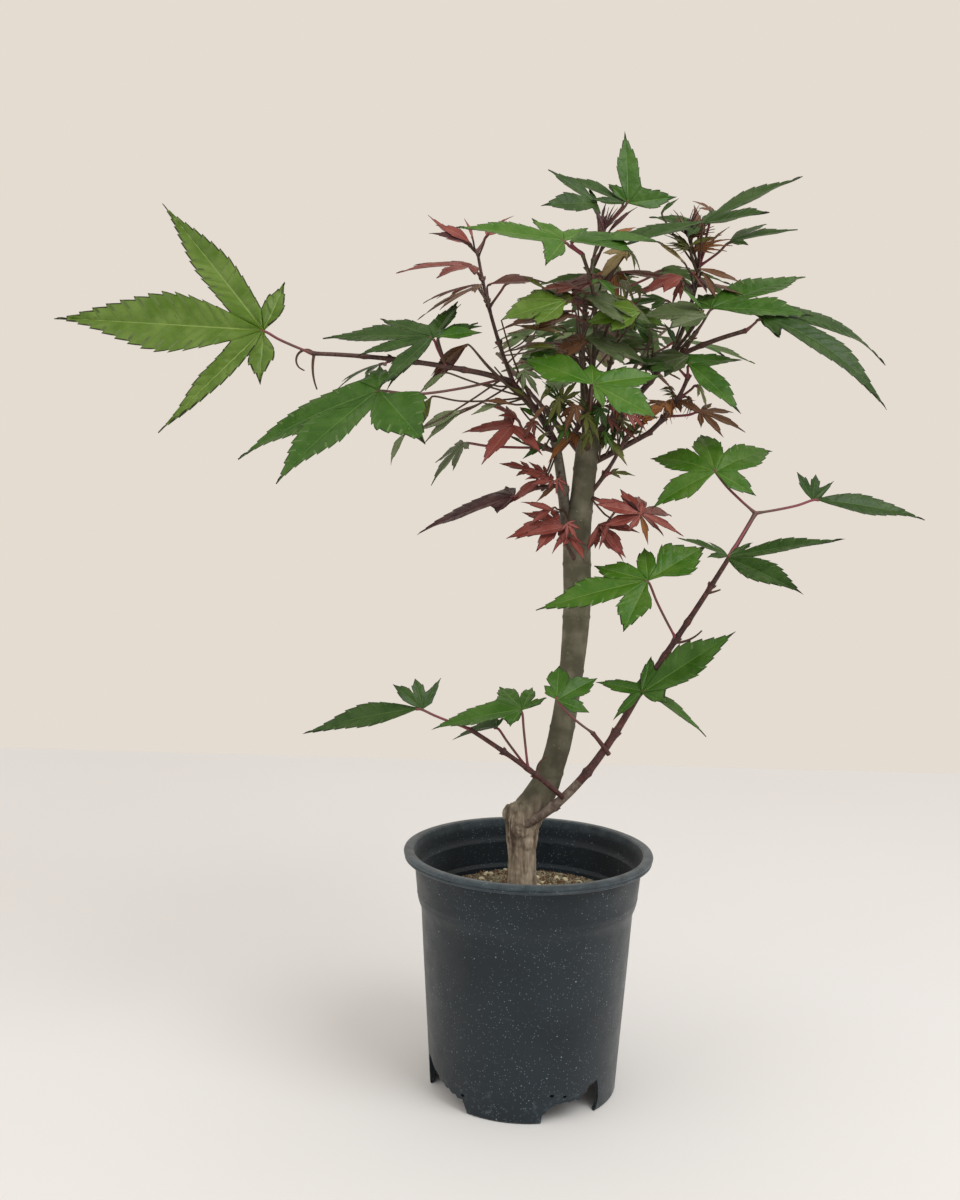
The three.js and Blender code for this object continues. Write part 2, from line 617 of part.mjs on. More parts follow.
// One leaf blade: a lens between an upper and a lower face that meet along the outline
function bladeSolid(kind, base, shape) {
  const [size] = shape;
  const at = leafSurface(kind, base, shape);
  const { lobes, width, palm } = KINDS[kind];
  const half = Math.max(size * RIB_THICKNESS, LEAST_THICKNESS) / 2;
  const ribbed = size >= SMALL_LEAF;
  const points = [];
  const add = (...place) => points.push(at(...place)) - 1;
  const upper = [add(0, 0, 0, half)];
  const lower = [add(0, 0, 0, -half)];
  const notches = lobes.slice(1).map(([angle, share], i) => {
    const [before, beforeShare] = lobes[i];
    return add((angle + before) / 2, size * palm * ((share + beforeShare) / 2), 0, 0);
  });
  const [rightAngle, rightShare] = lobes[0];
  const [leftAngle, leftShare] = lobes.at(-1);
  const rightHeel = add(rightAngle - HEEL_ANGLE, size * palm * rightShare * HEEL_SHARE, 0, 0);
  const leftHeel = add(leftAngle + HEEL_ANGLE, size * palm * leftShare * HEEL_SHARE, 0, 0);
  const heel = add(180, size * HEEL_BACK, 0, 0);
  const faces = [
    [upper[0], leftHeel, heel],
    [upper[0], heel, rightHeel],
    [lower[0], heel, leftHeel],
    [lower[0], rightHeel, heel],
  ];
  lobes.forEach(([angle, share, lobeWidth = width], i) => {
    const reach = size * share;
    const before = i === 0 ? rightHeel : notches[i - 1];
    const after = i === lobes.length - 1 ? leftHeel : notches[i];
    const right = add(angle, reach * WIDEST, -reach * lobeWidth, 0);
    const left = add(angle, reach * WIDEST, reach * lobeWidth, 0);
    const tip = add(angle, reach, 0, 0);
    const outline = [before, right, tip, left, after];
    if (!ribbed) {
      for (let k = 0; k + 1 < outline.length; k++) {
        faces.push([upper[0], outline[k], outline[k + 1]], [lower[0], outline[k + 1], outline[k]]);
      }
      return;
    }
    const top = add(angle, reach * WIDEST, 0, half);
    const bottom = add(angle, reach * WIDEST, 0, -half);
    const topRing = [upper[0], ...outline];
    const bottomRing = [lower[0], ...outline];
    topRing.forEach((here, k) => {
      const next = (k + 1) % topRing.length;
      faces.push([here, topRing[next], top]);
      faces.push([bottomRing[next], bottomRing[k], bottom]);
    });
  });
  return solidOf(indexedGeometry(points, faces));
}

function pointOn(path, place) {
  const spot = place * (path.length - 1);
  const step = Math.min(Math.floor(spot), path.length - 2);
  return path[step].clone().lerp(path[step + 1], spot - step);
}

// A leaf grown from its stem: its stalk from root to base, and its blades, each a pattern and a shape
function grown(path, [kind, place, stalk, stalkHeading, stalkRise, size, heading, rise, roll, curl, ...more]) {
  const root = pointOn(path, place);
  const way = direction(stalkHeading, stalkRise);
  const base = root.clone().addScaledVector(way, stalk);
  return { root, base, way, blades: [[kind, size, heading, rise, roll, curl], ...more] };
}

// The closed solids of a leaf: its stalk bends into the first blade, and each further blade starts a
// little further back along the stalk
function leafSolids({ root, base, way, blades }) {
  const [, , heading, rise] = blades[0];
  const tip = base.clone().addScaledVector(direction(heading, rise), STALK_SINK);
  const knee = base.clone().addScaledVector(way, -STALK_SINK);
  const stalk = limb([root, knee, tip], [STALK_RADIUS, STALK_RADIUS], STALK_SIDES);
  const solids = blades.map(([kind, ...shape], i) => {
    const foot = base.clone().addScaledVector(way, -i * BLADE_STEP);
    return bladeSolid(kind, foot, shape);
  });
  return [stalk, ...solids];
}

// The rule for seeded leaves: one leaf of a pair, at a place along the stem and to one side of it
function seededLeaf(random, { heading }, path, place, side) {
  const way = blend(heading[0], heading[1], place) + side * between(random, PAIR_SPREAD);
  return grown(path, [
    PAIR_KINDS[Math.floor(random() * PAIR_KINDS.length)],
    place,
    between(random, PAIR_STALK),
    way,
    between(random, PAIR_RISE),
    between(random, PAIR_BLADE),
    way - side * PAIR_TURN,
    between(random, PAIR_DROOP),
    between(random, PAIR_ROLL),
    between(random, PAIR_CURL),
  ]);
}

// Growing the plant

const limbs = { trunk: { solid: trunkSolid(0), swollen: trunkSolid(SEAT) } };

function startOf(plan) {
  if (plan.start) return plan.start;
  const { tip, way } = limbs[plan.from];
  return tip.clone().addScaledVector(way, SEAT).toArray();
}

function growLimb(plan, sides) {
  const path = limbPath({ ...plan, start: startOf(plan) });
  const last = path.length - 1;
  const way = path[last].clone().sub(path[last - 1]).normalize();
  const swollenRadius = plan.radius.map((r) => r + SEAT);
  return {
    path,
    tip: path[last],
    way,
    solid: limb(path, plan.radius, sides),
    swollen: limb(path, swollenRadius, sides),
  };
}

function seated(solid, plan) {
  return solid.subtract(limbs[plan.on || plan.from].swollen);
}

const pieces = [
  { name: "pot", solid: potSolid(), colour: COLOURS.pot, roughness: 0.6 },
  { name: "soil", solid: soilSolid(), colour: COLOURS.soil, roughness: 1 },
  { name: "trunk", solid: limbs.trunk.solid, colour: COLOURS.trunk, roughness: 0.9 },
];

for (const [name, plan] of Object.entries(BOUGHS)) {
  limbs[name] = growLimb(plan, BOUGH_SIDES);
  pieces.push({ name, solid: seated(limbs[name].solid, plan), colour: COLOURS.bough, roughness: 0.8 });
}

const sprays = Object.entries(SPRAYS).map(([name, plan]) => {
  const stem = growLimb(plan, STEM_SIDES);
  const leaves = (plan.leaves || []).map((row) => grown(stem.path, row));
  const solid = seated(joined([stem.solid, ...leaves.flatMap(leafSolids)]), plan);
  const colour = RED_SPRAYS.includes(name) ? COLOURS.red : COLOURS.green;
  const piece = { name, solid, colour, roughness: SPRAY_ROUGHNESS };
  pieces.push(piece);
  return { plan, stem, piece };
});

function isFree(solid, own) {
  const others = pieces.filter((piece) => piece !== own);
  return others.every((other) => solid.minGap(other.solid, LEAF_CLEARANCE) >= LEAF_CLEARANCE);
}

// Seeded leaves stand in pairs, the last pair at the stem's tip. A leaf that would come near
// any other piece is drawn again, and skipped after the last try.
for (const { plan, stem, piece } of sprays) {
  if (!plan.pairs) continue;
  const random = seeded(plan.seed);
  for (let slot = 0; slot < plan.pairs * 2; slot++) {
    const place = blend(PAIR_FROM, 1, Math.floor(slot / 2) / (plan.pairs - 1));
    const side = slot % 2 ? 1 : -1;
    for (let attempt = 0; attempt < PAIR_TRIES; attempt++) {
      const solid = joined(leafSolids(seededLeaf(random, plan, stem.path, place, side)));
      if (!isFree(solid, piece)) continue;
      piece.solid = piece.solid.add(seated(solid, plan));
      break;
    }
  }
}

const maple = new THREE.Group();
maple.name = "potted_japanese_maple";
for (const { name, solid, colour, roughness } of pieces) {
  maple.add(meshOf(name, solid, colour, roughness));
}

// The origin goes to the ground under the middle of the whole plant's width and depth
const middle = new THREE.Box3().setFromObject(maple).getCenter(new THREE.Vector3());
maple.children.forEach((mesh) => mesh.geometry.translate(-middle.x, -middle.y, 0));

export default maple;
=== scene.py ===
import math
import random

import bpy
import bmesh
import numpy as np
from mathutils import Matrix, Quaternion, Vector, noise
from mathutils.bvhtree import BVHTree


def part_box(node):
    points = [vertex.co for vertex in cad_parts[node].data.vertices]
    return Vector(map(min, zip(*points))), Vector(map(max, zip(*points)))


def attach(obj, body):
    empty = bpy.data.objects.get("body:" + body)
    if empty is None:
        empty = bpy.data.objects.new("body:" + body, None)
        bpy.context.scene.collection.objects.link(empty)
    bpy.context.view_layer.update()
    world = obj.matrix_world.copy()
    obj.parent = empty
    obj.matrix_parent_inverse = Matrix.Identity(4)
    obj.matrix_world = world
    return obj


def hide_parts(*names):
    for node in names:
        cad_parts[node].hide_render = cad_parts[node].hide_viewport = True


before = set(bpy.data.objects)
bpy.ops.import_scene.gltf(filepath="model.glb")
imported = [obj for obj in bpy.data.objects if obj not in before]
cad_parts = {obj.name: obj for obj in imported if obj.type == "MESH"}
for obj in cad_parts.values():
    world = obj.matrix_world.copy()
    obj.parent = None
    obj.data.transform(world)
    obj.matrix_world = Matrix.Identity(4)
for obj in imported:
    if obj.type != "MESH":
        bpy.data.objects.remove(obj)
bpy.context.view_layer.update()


# Camera
# It stands in front of the plant at the height of its fork, looks a little down and is
# rolled by about a degree. Every place on the plant is measured from under the pot's centre.
MM = 0.001
CAMERA_PLACE = (-26, -614, 294)
CAMERA_PITCH = 5.4
CAMERA_ROLL = 1.3
CAMERA_LENS = 39
CAMERA_SENSOR = 36
CAMERA_NEAR = 0.01
CAMERA_FAR = 20

pot_low, pot_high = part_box("pot")
POT_CENTRE = Vector(((pot_low.x + pot_high.x) / 2, (pot_low.y + pot_high.y) / 2, 0))


def at_plant(place):
    """A place in millimetres from under the pot's centre, as a place in the scene."""
    return POT_CENTRE + Vector(place) * MM


camera = bpy.data.objects.new("camera", bpy.data.cameras.new("camera"))
bpy.context.collection.objects.link(camera)
camera.data.lens = CAMERA_LENS
camera.data.sensor_width = CAMERA_SENSOR
camera.data.clip_start = CAMERA_NEAR
camera.data.clip_end = CAMERA_FAR
camera.data.dof.use_dof = False
camera.rotation_mode = "QUATERNION"
looking_ahead = Quaternion((1, 0, 0), math.radians(90 - CAMERA_PITCH))
rolled = Quaternion((0, 0, 1), math.radians(CAMERA_ROLL))
camera.rotation_quaternion = looking_ahead @ rolled
camera.location = at_plant(CAMERA_PLACE)
bpy.context.scene.camera = camera


# Pot
# A round nursery pot, moulded in dark recycled plastic: a thin tapered wall with a stepped
# collar and a flat rim, on a thin skirt with four notches. The two notches in front are torn.
POT_SIDES = 180
# Edges that bend by more than these degrees stay crisp
POT_SHARP = 32
# Outline of the wall: radius and height, from the floor's top round the foot and the rim
POT_OUTLINE = [
    (0, 17.5), (42.6, 17.5), (43.6, 16.7), (43.3, 6), (43.2, 0.6), (43.7, 0), (44.7, 0), (45.3, 0.7),
    (46.7, 22), (48.2, 44), (49.7, 66), (50.9, 85.5), (51.2, 88.2), (52.2, 90.6), (52.8, 92.6),
    (52.95, 94.2), (53.25, 94.8), (53.2, 95.5), (53.8, 101), (54.5, 108.4), (54.7, 110.6),
    (55.4, 111.5), (57.2, 111.9), (58.9, 112.0), (59.5, 112.5), (59.6, 113.1), (59.2, 113.6),
    (59.4, 113.9), (59.9, 114.3), (60, 114.9), (59.7, 115.6), (58.9, 115.95), (57.4, 116),
    (56, 115.9), (55.2, 115.3), (54.9, 114.2), (54.3, 108), (53.9, 105.7), (53.2, 104.8), (52.5, 104.3),
    (51.9, 98), (51.5, 93.5), (50.7, 92.5), (50.0, 91.8), (49.4, 86), (46.6, 44),
    (45.0, 22), (44.2, 20.7), (0, 20.5),
]
# Notches of the skirt: how far in and out from the axis they are cut, their outlines across and
# upwards, and the heading of each
NOTCH_BACK = 38
NOTCH_FRONT = 64
NOTCH_LEVEL = [
    (-15.5, -2), (15.5, -2), (15.5, 6.4), (14.4, 8.9), (11.5, 10), (-11.5, 10), (-14.4, 8.9),
    (-15.5, 6.4),
]
NOTCH_CHIPPED = [
    (-15.5, -2), (13.2, -2), (13.6, 0.8), (15.2, 3), (15.8, 7.2), (15.5, 9.4), (14.6, 13.6),
    (13.9, 15.9), (11.6, 15.1), (8.4, 14.4), (7.3, 11.5), (5.2, 11.3), (3.2, 9.2), (0.8, 9.8),
    (-2.1, 9.1), (-4.6, 9.6), (-7.4, 8.9), (-9.1, 9.2), (-11.8, 7.2), (-13.1, 6.3), (-15.2, 4.1),
]
NOTCH_TORN = [
    (-17.5, -2), (17.4, -2), (16.9, 1.6), (15.6, 4.6), (15.0, 6.4), (12.2, 6.1), (10.9, 7.4),
    (8.2, 7.1), (6.3, 8.6), (4.2, 8.3), (2.4, 9.7), (-0.6, 10.2), (-3.2, 11.9), (-6.3, 12.6),
    (-9.4, 14.2), (-12.2, 15.9), (-15.2, 16.4), (-17.3, 15.1),
]
NOTCHES = [(29, NOTCH_LEVEL), (119, NOTCH_LEVEL), (211.5, NOTCH_TORN), (299, NOTCH_CHIPPED)]
# Small holes in the skirt: heading, height and half width. Each is a flattened ring of so many
# corners over so much of a turn.
SKIRT_HOLES = [(285, 13.4, 1.2), (293, 12.2, 1.0), (231, 8.4, 1.1)]
HOLE_CORNERS = 7
HOLE_TURN = 5.2
HOLE_FLATNESS = 0.7
PLASTIC_DARK = "#06151e"
PLASTIC_PALE = "#16242c"
# Pale plastic: real wear in the scuffs and at the foot; on the rim's top partly wear, partly a painted
# highlight
PLASTIC_WEAR_AND_HIGHLIGHT = "#45535a"
SPECK_PALE = "#86949a"
# Specks: the smallest as a share of the largest, and how strongly small and large ones show
SPECK_LEAST = 0.4
SMALL_SPECK_SHARE = 0.48
LARGE_SPECK_SHARE = 0.75
# Heights in metres over which the rim's wear and painted highlight come in and the foot's wear fades
RIM_WEAR_AND_HIGHLIGHT = (0.111, 0.1135)
FOOT_WEAR = (0.002, 0.019)


def paint(code):
    """A colour written as on screen, as the linear colour that shaders take."""
    shares = [int(code[place:place + 2], 16) / 255 for place in (1, 3, 5)]
    linear = [s / 12.92 if s <= 0.04045 else ((s + 0.055) / 1.055) ** 2.4 for s in shares]
    return (*linear, 1)


def finish_of(name, colour, roughness, specular=0.5):
    """A new material, its node tree and its shader."""
    material = bpy.data.materials.new(name)
    material.use_nodes = True
    shader = material.node_tree.nodes["Principled BSDF"]
    shader.inputs["Base Color"].default_value = paint(colour)
    shader.inputs["Roughness"].default_value = roughness
    shader.inputs["Specular IOR Level"].default_value = specular
    return material, material.node_tree, shader


def noise_of(tree, scale, detail, stretch=(1, 1, 1)):
    """A noise in the object's own coordinates; scale is in lumps per metre."""
    coordinates = tree.nodes.new("ShaderNodeTexCoord")
    mapping = tree.nodes.new("ShaderNodeMapping")
    mapping.inputs["Scale"].default_value = stretch
    tree.links.new(coordinates.outputs["Object"], mapping.inputs["Vector"])
    texture = tree.nodes.new("ShaderNodeTexNoise")
    texture.inputs["Scale"].default_value = scale
    texture.inputs["Detail"].default_value = detail
    tree.links.new(mapping.outputs["Vector"], texture.inputs["Vector"])
    return texture.outputs["Fac"]


def ramp_of(tree, source, low, high, least=0, most=1):
    """A share that runs from least to most while the source goes from low to high."""
    ramp = tree.nodes.new("ShaderNodeMapRange")
    ramp.clamp = True
    ramp.inputs["From Min"].default_value = low
    ramp.inputs["From Max"].default_value = high
    ramp.inputs["To Min"].default_value = least
    ramp.inputs["To Max"].default_value = most
    tree.links.new(source, ramp.inputs["Value"])
    return ramp.outputs["Result"]


def patches_of(tree, scale, detail, low, high, least=0, most=1, stretch=(1, 1, 1)):
    """A share that changes in patches, from least to most while a noise goes from low to high."""
    return ramp_of(tree, noise_of(tree, scale, detail, stretch), low, high, least, most)


def mixed(tree, share, first, second):
    """One colour changing to another by a share. Each is a colour code or a node's output."""
    mix = tree.nodes.new("ShaderNodeMix")
    mix.data_type = "RGBA"
    tree.links.new(share, mix.inputs["Factor"])
    for socket, colour in (("A", first), ("B", second)):
        target = next(s for s in mix.inputs if s.name == socket and s.type == "RGBA")
        if isinstance(colour, str):
            target.default_value = paint(colour)
        else:
            tree.links.new(colour, target)
    return next(s for s in mix.outputs if s.type == "RGBA")


def maths(tree, kind, first, second):
    """A sum, product or the like of an output and a number or an output."""
    node = tree.nodes.new("ShaderNodeMath")
    node.operation = kind
    tree.links.new(first, node.inputs[0])
    if isinstance(second, (int, float)):
        node.inputs[1].default_value = second
    else:
        tree.links.new(second, node.inputs[1])
    return node.outputs[0]


def bumped(tree, shader, height, strength, distance):
    """Relief on a shader from a height."""
    bump = tree.nodes.new("ShaderNodeBump")
    bump.inputs["Strength"].default_value = strength
    bump.inputs["Distance"].default_value = distance
    tree.links.new(height, bump.inputs["Height"])
    tree.links.new(bump.outputs["Normal"], shader.inputs["Normal"])


def height_of(tree):
    """The height above the ground, in metres."""
    coordinates = tree.nodes.new("ShaderNodeTexCoord")
    split = tree.nodes.new("ShaderNodeSeparateXYZ")
    tree.links.new(coordinates.outputs["Object"], split.inputs["Vector"])
    return split.outputs["Z"]


def specks(tree, scale, size, chance):
    """Small round specks, each cell of the pattern having one by chance."""
    coordinates = tree.nodes.new("ShaderNodeTexCoord")
    cells = tree.nodes.new("ShaderNodeTexVoronoi")
    cells.inputs["Scale"].default_value = scale
    tree.links.new(coordinates.outputs["Object"], cells.inputs["Vector"])
    split = tree.nodes.new("ShaderNodeSeparateColor")
    tree.links.new(cells.outputs["Color"], split.inputs["Color"])
    width = ramp_of(tree, split.outputs["Green"], 0, 1, size * SPECK_LEAST, size)
    spot = maths(tree, "LESS_THAN", cells.outputs["Distance"], width)
    picked = maths(tree, "LESS_THAN", split.outputs["Red"], chance)
    return maths(tree, "MULTIPLY", spot, picked)


def piece_of(name, points, faces, materials, numbers=None, smooth_angle=None):
    """An object made of points in metres and faces, each face with its material's number."""
    mesh = bpy.data.meshes.new(name)
    mesh.from_pydata(points, [], faces)
    for material in materials:
        mesh.materials.append(material)
    if numbers is not None:
        mesh.polygons.foreach_set("material_index", numbers)
    if smooth_angle is not None:
        mesh.shade_smooth()
        mesh.set_sharp_from_angle(angle=math.radians(smooth_angle))
    mesh.update()
    piece = bpy.data.objects.new(name, mesh)
    bpy.context.collection.objects.link(piece)
    return piece


def on_circle(radius, side, sides):
    """The place to the right and back of a circle's centre, at one of so many even steps."""
    turn = 2 * math.pi * side / sides
    return radius * math.cos(turn), radius * math.sin(turn)


def turned_shape(outline, sides):
    """Points and faces of an outline of radius and height turned round the pot's axis."""
    points = []
    rings = []
    for radius, height in outline:
        count = 1 if radius == 0 else sides
        rings.append([len(points) + side for side in range(count)])
        points += [at_plant((*on_circle(radius, side, sides), height)) for side in range(count)]
    faces = []
    for low, high in zip(rings, rings[1:]):
        for side in range(sides):
            after = (side + 1) % sides
            corners = [
                low[side % len(low)], low[after % len(low)],
                high[after % len(high)], high[side % len(high)],
            ]
            faces.append(list(dict.fromkeys(corners)))
    return points, faces


def cutting_block(heading, outline):
    """Points and faces of an outline pushed outwards through the skirt of the pot."""
    outward = Vector((math.cos(math.radians(heading)), math.sin(math.radians(heading)), 0))
    right = Vector((0, 0, 1)).cross(outward)
    count = len(outline)
    points = []
    for reach in (NOTCH_BACK, NOTCH_FRONT):
        for across, height in outline:
            points.append(at_plant(outward * reach + right * across + Vector((0, 0, height))))
    faces = [list(range(count))[::-1], list(range(count, 2 * count))]
    for corner in range(count):
        after = (corner + 1) % count
        faces.append([corner, after, after + count, corner + count])
    return points, faces


def applied(piece):
    """Makes a piece's modifiers final."""
    evaluated = piece.evaluated_get(bpy.context.evaluated_depsgraph_get())
    mesh = bpy.data.meshes.new_from_object(evaluated)
    piece.modifiers.clear()
    old = piece.data
    piece.data = mesh
    bpy.data.meshes.remove(old)
    mesh.name = piece.name


plastic, tree, shader = finish_of("pot_plastic", PLASTIC_DARK, roughness=0.5, specular=0.34)
shader.inputs["Sheen Weight"].default_value = 0.15
cloudy = patches_of(tree, scale=30, detail=3, low=0.35, high=0.7)
base = mixed(tree, cloudy, PLASTIC_DARK, PLASTIC_PALE)
# The rim's top is paler in patches: partly wear, partly a painted highlight
rim_patches = patches_of(tree, scale=160, detail=4, low=0.3, high=0.62, least=0.15, most=0.7)
rim_wear_and_highlight = maths(tree, "MULTIPLY", ramp_of(tree, height_of(tree), *RIM_WEAR_AND_HIGHLIGHT), rim_patches)
base = mixed(tree, rim_wear_and_highlight, base, PLASTIC_WEAR_AND_HIGHLIGHT)
scuffs = patches_of(tree, scale=60, detail=6, low=0.66, high=0.74, most=0.3, stretch=(1, 1, 5))
base = mixed(tree, scuffs, base, PLASTIC_WEAR_AND_HIGHLIGHT)
dusty = patches_of(tree, scale=30, detail=2, low=0.25, high=0.55)
small_specks = maths(tree, "MULTIPLY", specks(tree, scale=900, size=0.25, chance=0.7), dusty)
large_specks = maths(
    tree, "MAXIMUM",
    specks(tree, scale=420, size=0.14, chance=0.2), specks(tree, scale=170, size=0.07, chance=0.22),
)
for found, share in ((small_specks, SMALL_SPECK_SHARE), (large_specks, LARGE_SPECK_SHARE)):
    base = mixed(tree, maths(tree, "MULTIPLY", found, share), base, SPECK_PALE)
foot_patches = patches_of(tree, scale=380, detail=4, low=0.56, high=0.68, most=0.8)
worn_foot = maths(tree, "MULTIPLY", ramp_of(tree, height_of(tree), *FOOT_WEAR, 1, 0), foot_patches)
base = mixed(tree, worn_foot, base, PLASTIC_WEAR_AND_HIGHLIGHT)
tree.links.new(base, shader.inputs["Base Color"])
dullness = patches_of(tree, scale=120, detail=4, low=0.3, high=0.7, least=0.42, most=0.6)
tree.links.new(dullness, shader.inputs["Roughness"])
bumped(tree, shader, noise_of(tree, scale=900, detail=4), strength=0.25, distance=0.0002)

points, faces = turned_shape(POT_OUTLINE, POT_SIDES)
pot = piece_of("nursery_pot", points, faces, [plastic])
cuts = list(NOTCHES)
for heading, height, size in SKIRT_HOLES:
    turns = np.linspace(0, HOLE_TURN, HOLE_CORNERS)
    ring = [(size * math.cos(a), height + HOLE_FLATNESS * size * math.sin(a)) for a in turns]
    cuts.append((heading, ring))
points, faces = [], []
for heading, outline in cuts:
    more_points, more_faces = cutting_block(heading, outline)
    faces += [[corner + len(points) for corner in face] for face in more_faces]
    points += more_points
cutter = piece_of("cutter", points, faces, [plastic])
cut = pot.modifiers.new("notches", "BOOLEAN")
cut.operation = "DIFFERENCE"
cut.solver = "EXACT"
cut.use_self = True
cut.object = cutter
applied(pot)
bpy.data.objects.remove(cutter)
pot.data.shade_smooth()
pot.data.set_sharp_from_angle(angle=math.radians(POT_SHARP))
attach(pot, "root")
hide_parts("pot")


# Potting mix
# Brown gritty mix that fills the pot to a little below the collar, heaped a little round the
# stump, with loose bark bits and cream pumice grains lying on it.
SOIL_FOOT = 21
SOIL_FOOT_RADIUS = 43
SOIL_TOP = 91.2
SOIL_RADIUS = 49
SOIL_RINGS = 40
SOIL_SIDES = 128
# The heap round the stump: height, distance of its crest from the axis, and width
SOIL_HEAP = (1.2, 10, 16)
# The dip along the wall: depth, distance from the axis where it starts, and width
SOIL_DIP = (1.6, 40, 9)
# Unevenness of the soil: height, waves per millimetre and seed
SOIL_WAVES = [(1.3, 0.11, 3), (0.45, 0.45, 7)]
SOIL_BROWN = "#5d5341"
SOIL_TAN = "#95886a"
SOIL_DARK = "#3a2c20"
# Loose grains: name, colour, further tones with their patches' scale, detail, low and high,
# grains per square metre, size in metres, seed and fineness of the grain's mesh
GRIT_KINDS = [
    ("soil_grit", "#8b826c", [("#665e4e", 500, 1, 0.5, 0.56), ("#a69c84", 670, 1, 0.5, 0.56)],
     900000, 0.00065, 11, 1),
    ("soil_bark_bits", "#5e4836", [("#7c644c", 500, 1, 0.5, 0.56)], 90000, 0.00125, 23, 1),
    ("soil_pumice", "#d8cdb0", [("#b9a988", 900, 3, 0.4, 0.7)], 7000, 0.0018, 37, 2),
]
GRAIN_LEAST = (0.55, 0.5, 0.4)
GRAIN_MOST = (1.3, 1.1, 0.9)
GRAIN_TURN = 6.28
GRAIN_WAVES = 1.3
GRAIN_UNEVEN = 0.35
UPWARD_FROM = 0.5


def hump(distance, width):
    """1 at no distance, falling smoothly to almost nothing at twice the width."""
    return math.exp(-((distance / width) ** 2))


def soil_level(x, y):
    """The soil's height at a place, in millimetres."""
    away = math.hypot(x, y)
    height, crest, width = SOIL_HEAP
    level = SOIL_TOP + height * hump(away - crest, width)
    depth, start, width = SOIL_DIP
    level -= depth * max(0, (away - start) / width) ** 2
    for height, waves, seed in SOIL_WAVES:
        level += height * noise.noise((x * waves, y * waves, seed))
    return level


earth, tree, shader = finish_of("soil_earth", SOIL_BROWN, roughness=0.95, specular=0.2)
patches = patches_of(tree, scale=350, detail=6, low=0.4, high=0.62)
crumbs = patches_of(tree, scale=1500, detail=4, low=0.4, high=0.65, most=0.5)
base = mixed(tree, crumbs, mixed(tree, patches, SOIL_BROWN, SOIL_TAN), SOIL_DARK)
tree.links.new(base, shader.inputs["Base Color"])
bumped(tree, shader, noise_of(tree, scale=1600, detail=5), strength=0.8, distance=0.0008)

points = []
for ring in range(1, SOIL_RINGS + 1):
    for side in range(SOIL_SIDES):
        x, y = on_circle(SOIL_RADIUS * ring / SOIL_RINGS, side, SOIL_SIDES)
        points.append(at_plant((x, y, soil_level(x, y))))
rim = len(points) - SOIL_SIDES
top_middle = len(points)
points.append(at_plant((0, 0, soil_level(0, 0))))
foot = len(points)
for side in range(SOIL_SIDES):
    points.append(at_plant((*on_circle(SOIL_FOOT_RADIUS, side, SOIL_SIDES), SOIL_FOOT)))
foot_middle = len(points)
points.append(at_plant((0, 0, SOIL_FOOT)))
faces = []
for side in range(SOIL_SIDES):
    after = (side + 1) % SOIL_SIDES
    faces.append([top_middle, side, after])
    for low in range(0, rim, SOIL_SIDES):
        high = low + SOIL_SIDES
        faces.append([low + side, high + side, high + after, low + after])
    faces.append([rim + after, rim + side, foot + side, foot + after])
    faces.append([foot + after, foot + side, foot_middle])
soil = piece_of("potting_mix", points, faces, [earth], smooth_angle=60)
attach(soil, "root")
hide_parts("soil")


def scatter_tree(name, material, grain):
    """Grains strewn over the upward faces of a mesh, made real and given their material."""
    group = bpy.data.node_groups.new(name, "GeometryNodeTree")
    group.interface.new_socket("Ground", in_out="INPUT", socket_type="NodeSocketGeometry")
    for label, kind in (("Density", "Float"), ("Size", "Float"), ("Seed", "Int")):
        group.interface.new_socket(label, in_out="INPUT", socket_type=f"NodeSocket{kind}")
    group.interface.new_socket("Grains", in_out="OUTPUT", socket_type="NodeSocketGeometry")
    node = group.nodes.new
    link = group.links.new
    source = node("NodeGroupInput")
    result = node("NodeGroupOutput")
    spread = node("GeometryNodeDistributePointsOnFaces")
    upward = node("GeometryNodeInputNormal")
    split = node("ShaderNodeSeparateXYZ")
    is_top = node("FunctionNodeCompare")
    is_top.inputs["B"].default_value = UPWARD_FROM
    shape = node("GeometryNodeObjectInfo")
    shape.inputs["Object"].default_value = grain
    turn = node("FunctionNodeRandomValue")
    turn.data_type = "FLOAT_VECTOR"
    turn.inputs["Max"].default_value = (GRAIN_TURN, GRAIN_TURN, GRAIN_TURN)
    size = node("FunctionNodeRandomValue")
    size.data_type = "FLOAT_VECTOR"
    size.inputs["Min"].default_value = GRAIN_LEAST
    size.inputs["Max"].default_value = GRAIN_MOST
    scale = node("ShaderNodeVectorMath")
    scale.operation = "SCALE"
    place = node("GeometryNodeInstanceOnPoints")
    real = node("GeometryNodeRealizeInstances")
    coat = node("GeometryNodeSetMaterial")
    coat.inputs["Material"].default_value = material
    link(source.outputs["Ground"], spread.inputs["Mesh"])
    link(source.outputs["Density"], spread.inputs["Density"])
    for seeded_node in (spread, turn, size):
        link(source.outputs["Seed"], seeded_node.inputs["Seed"])
    link(upward.outputs["Normal"], split.inputs["Vector"])
    link(split.outputs["Z"], is_top.inputs["A"])
    link(is_top.outputs["Result"], spread.inputs["Selection"])
    link(size.outputs["Value"], scale.inputs["Vector"])
    link(source.outputs["Size"], scale.inputs["Scale"])
    link(spread.outputs["Points"], place.inputs["Points"])
    link(shape.outputs["Geometry"], place.inputs["Instance"])
    link(turn.outputs["Value"], place.inputs["Rotation"])
    link(scale.outputs["Vector"], place.inputs["Scale"])
    link(place.outputs["Instances"], real.inputs["Geometry"])
    link(real.outputs["Geometry"], coat.inputs["Geometry"])
    link(coat.outputs["Geometry"], result.inputs["Grains"])
    return group


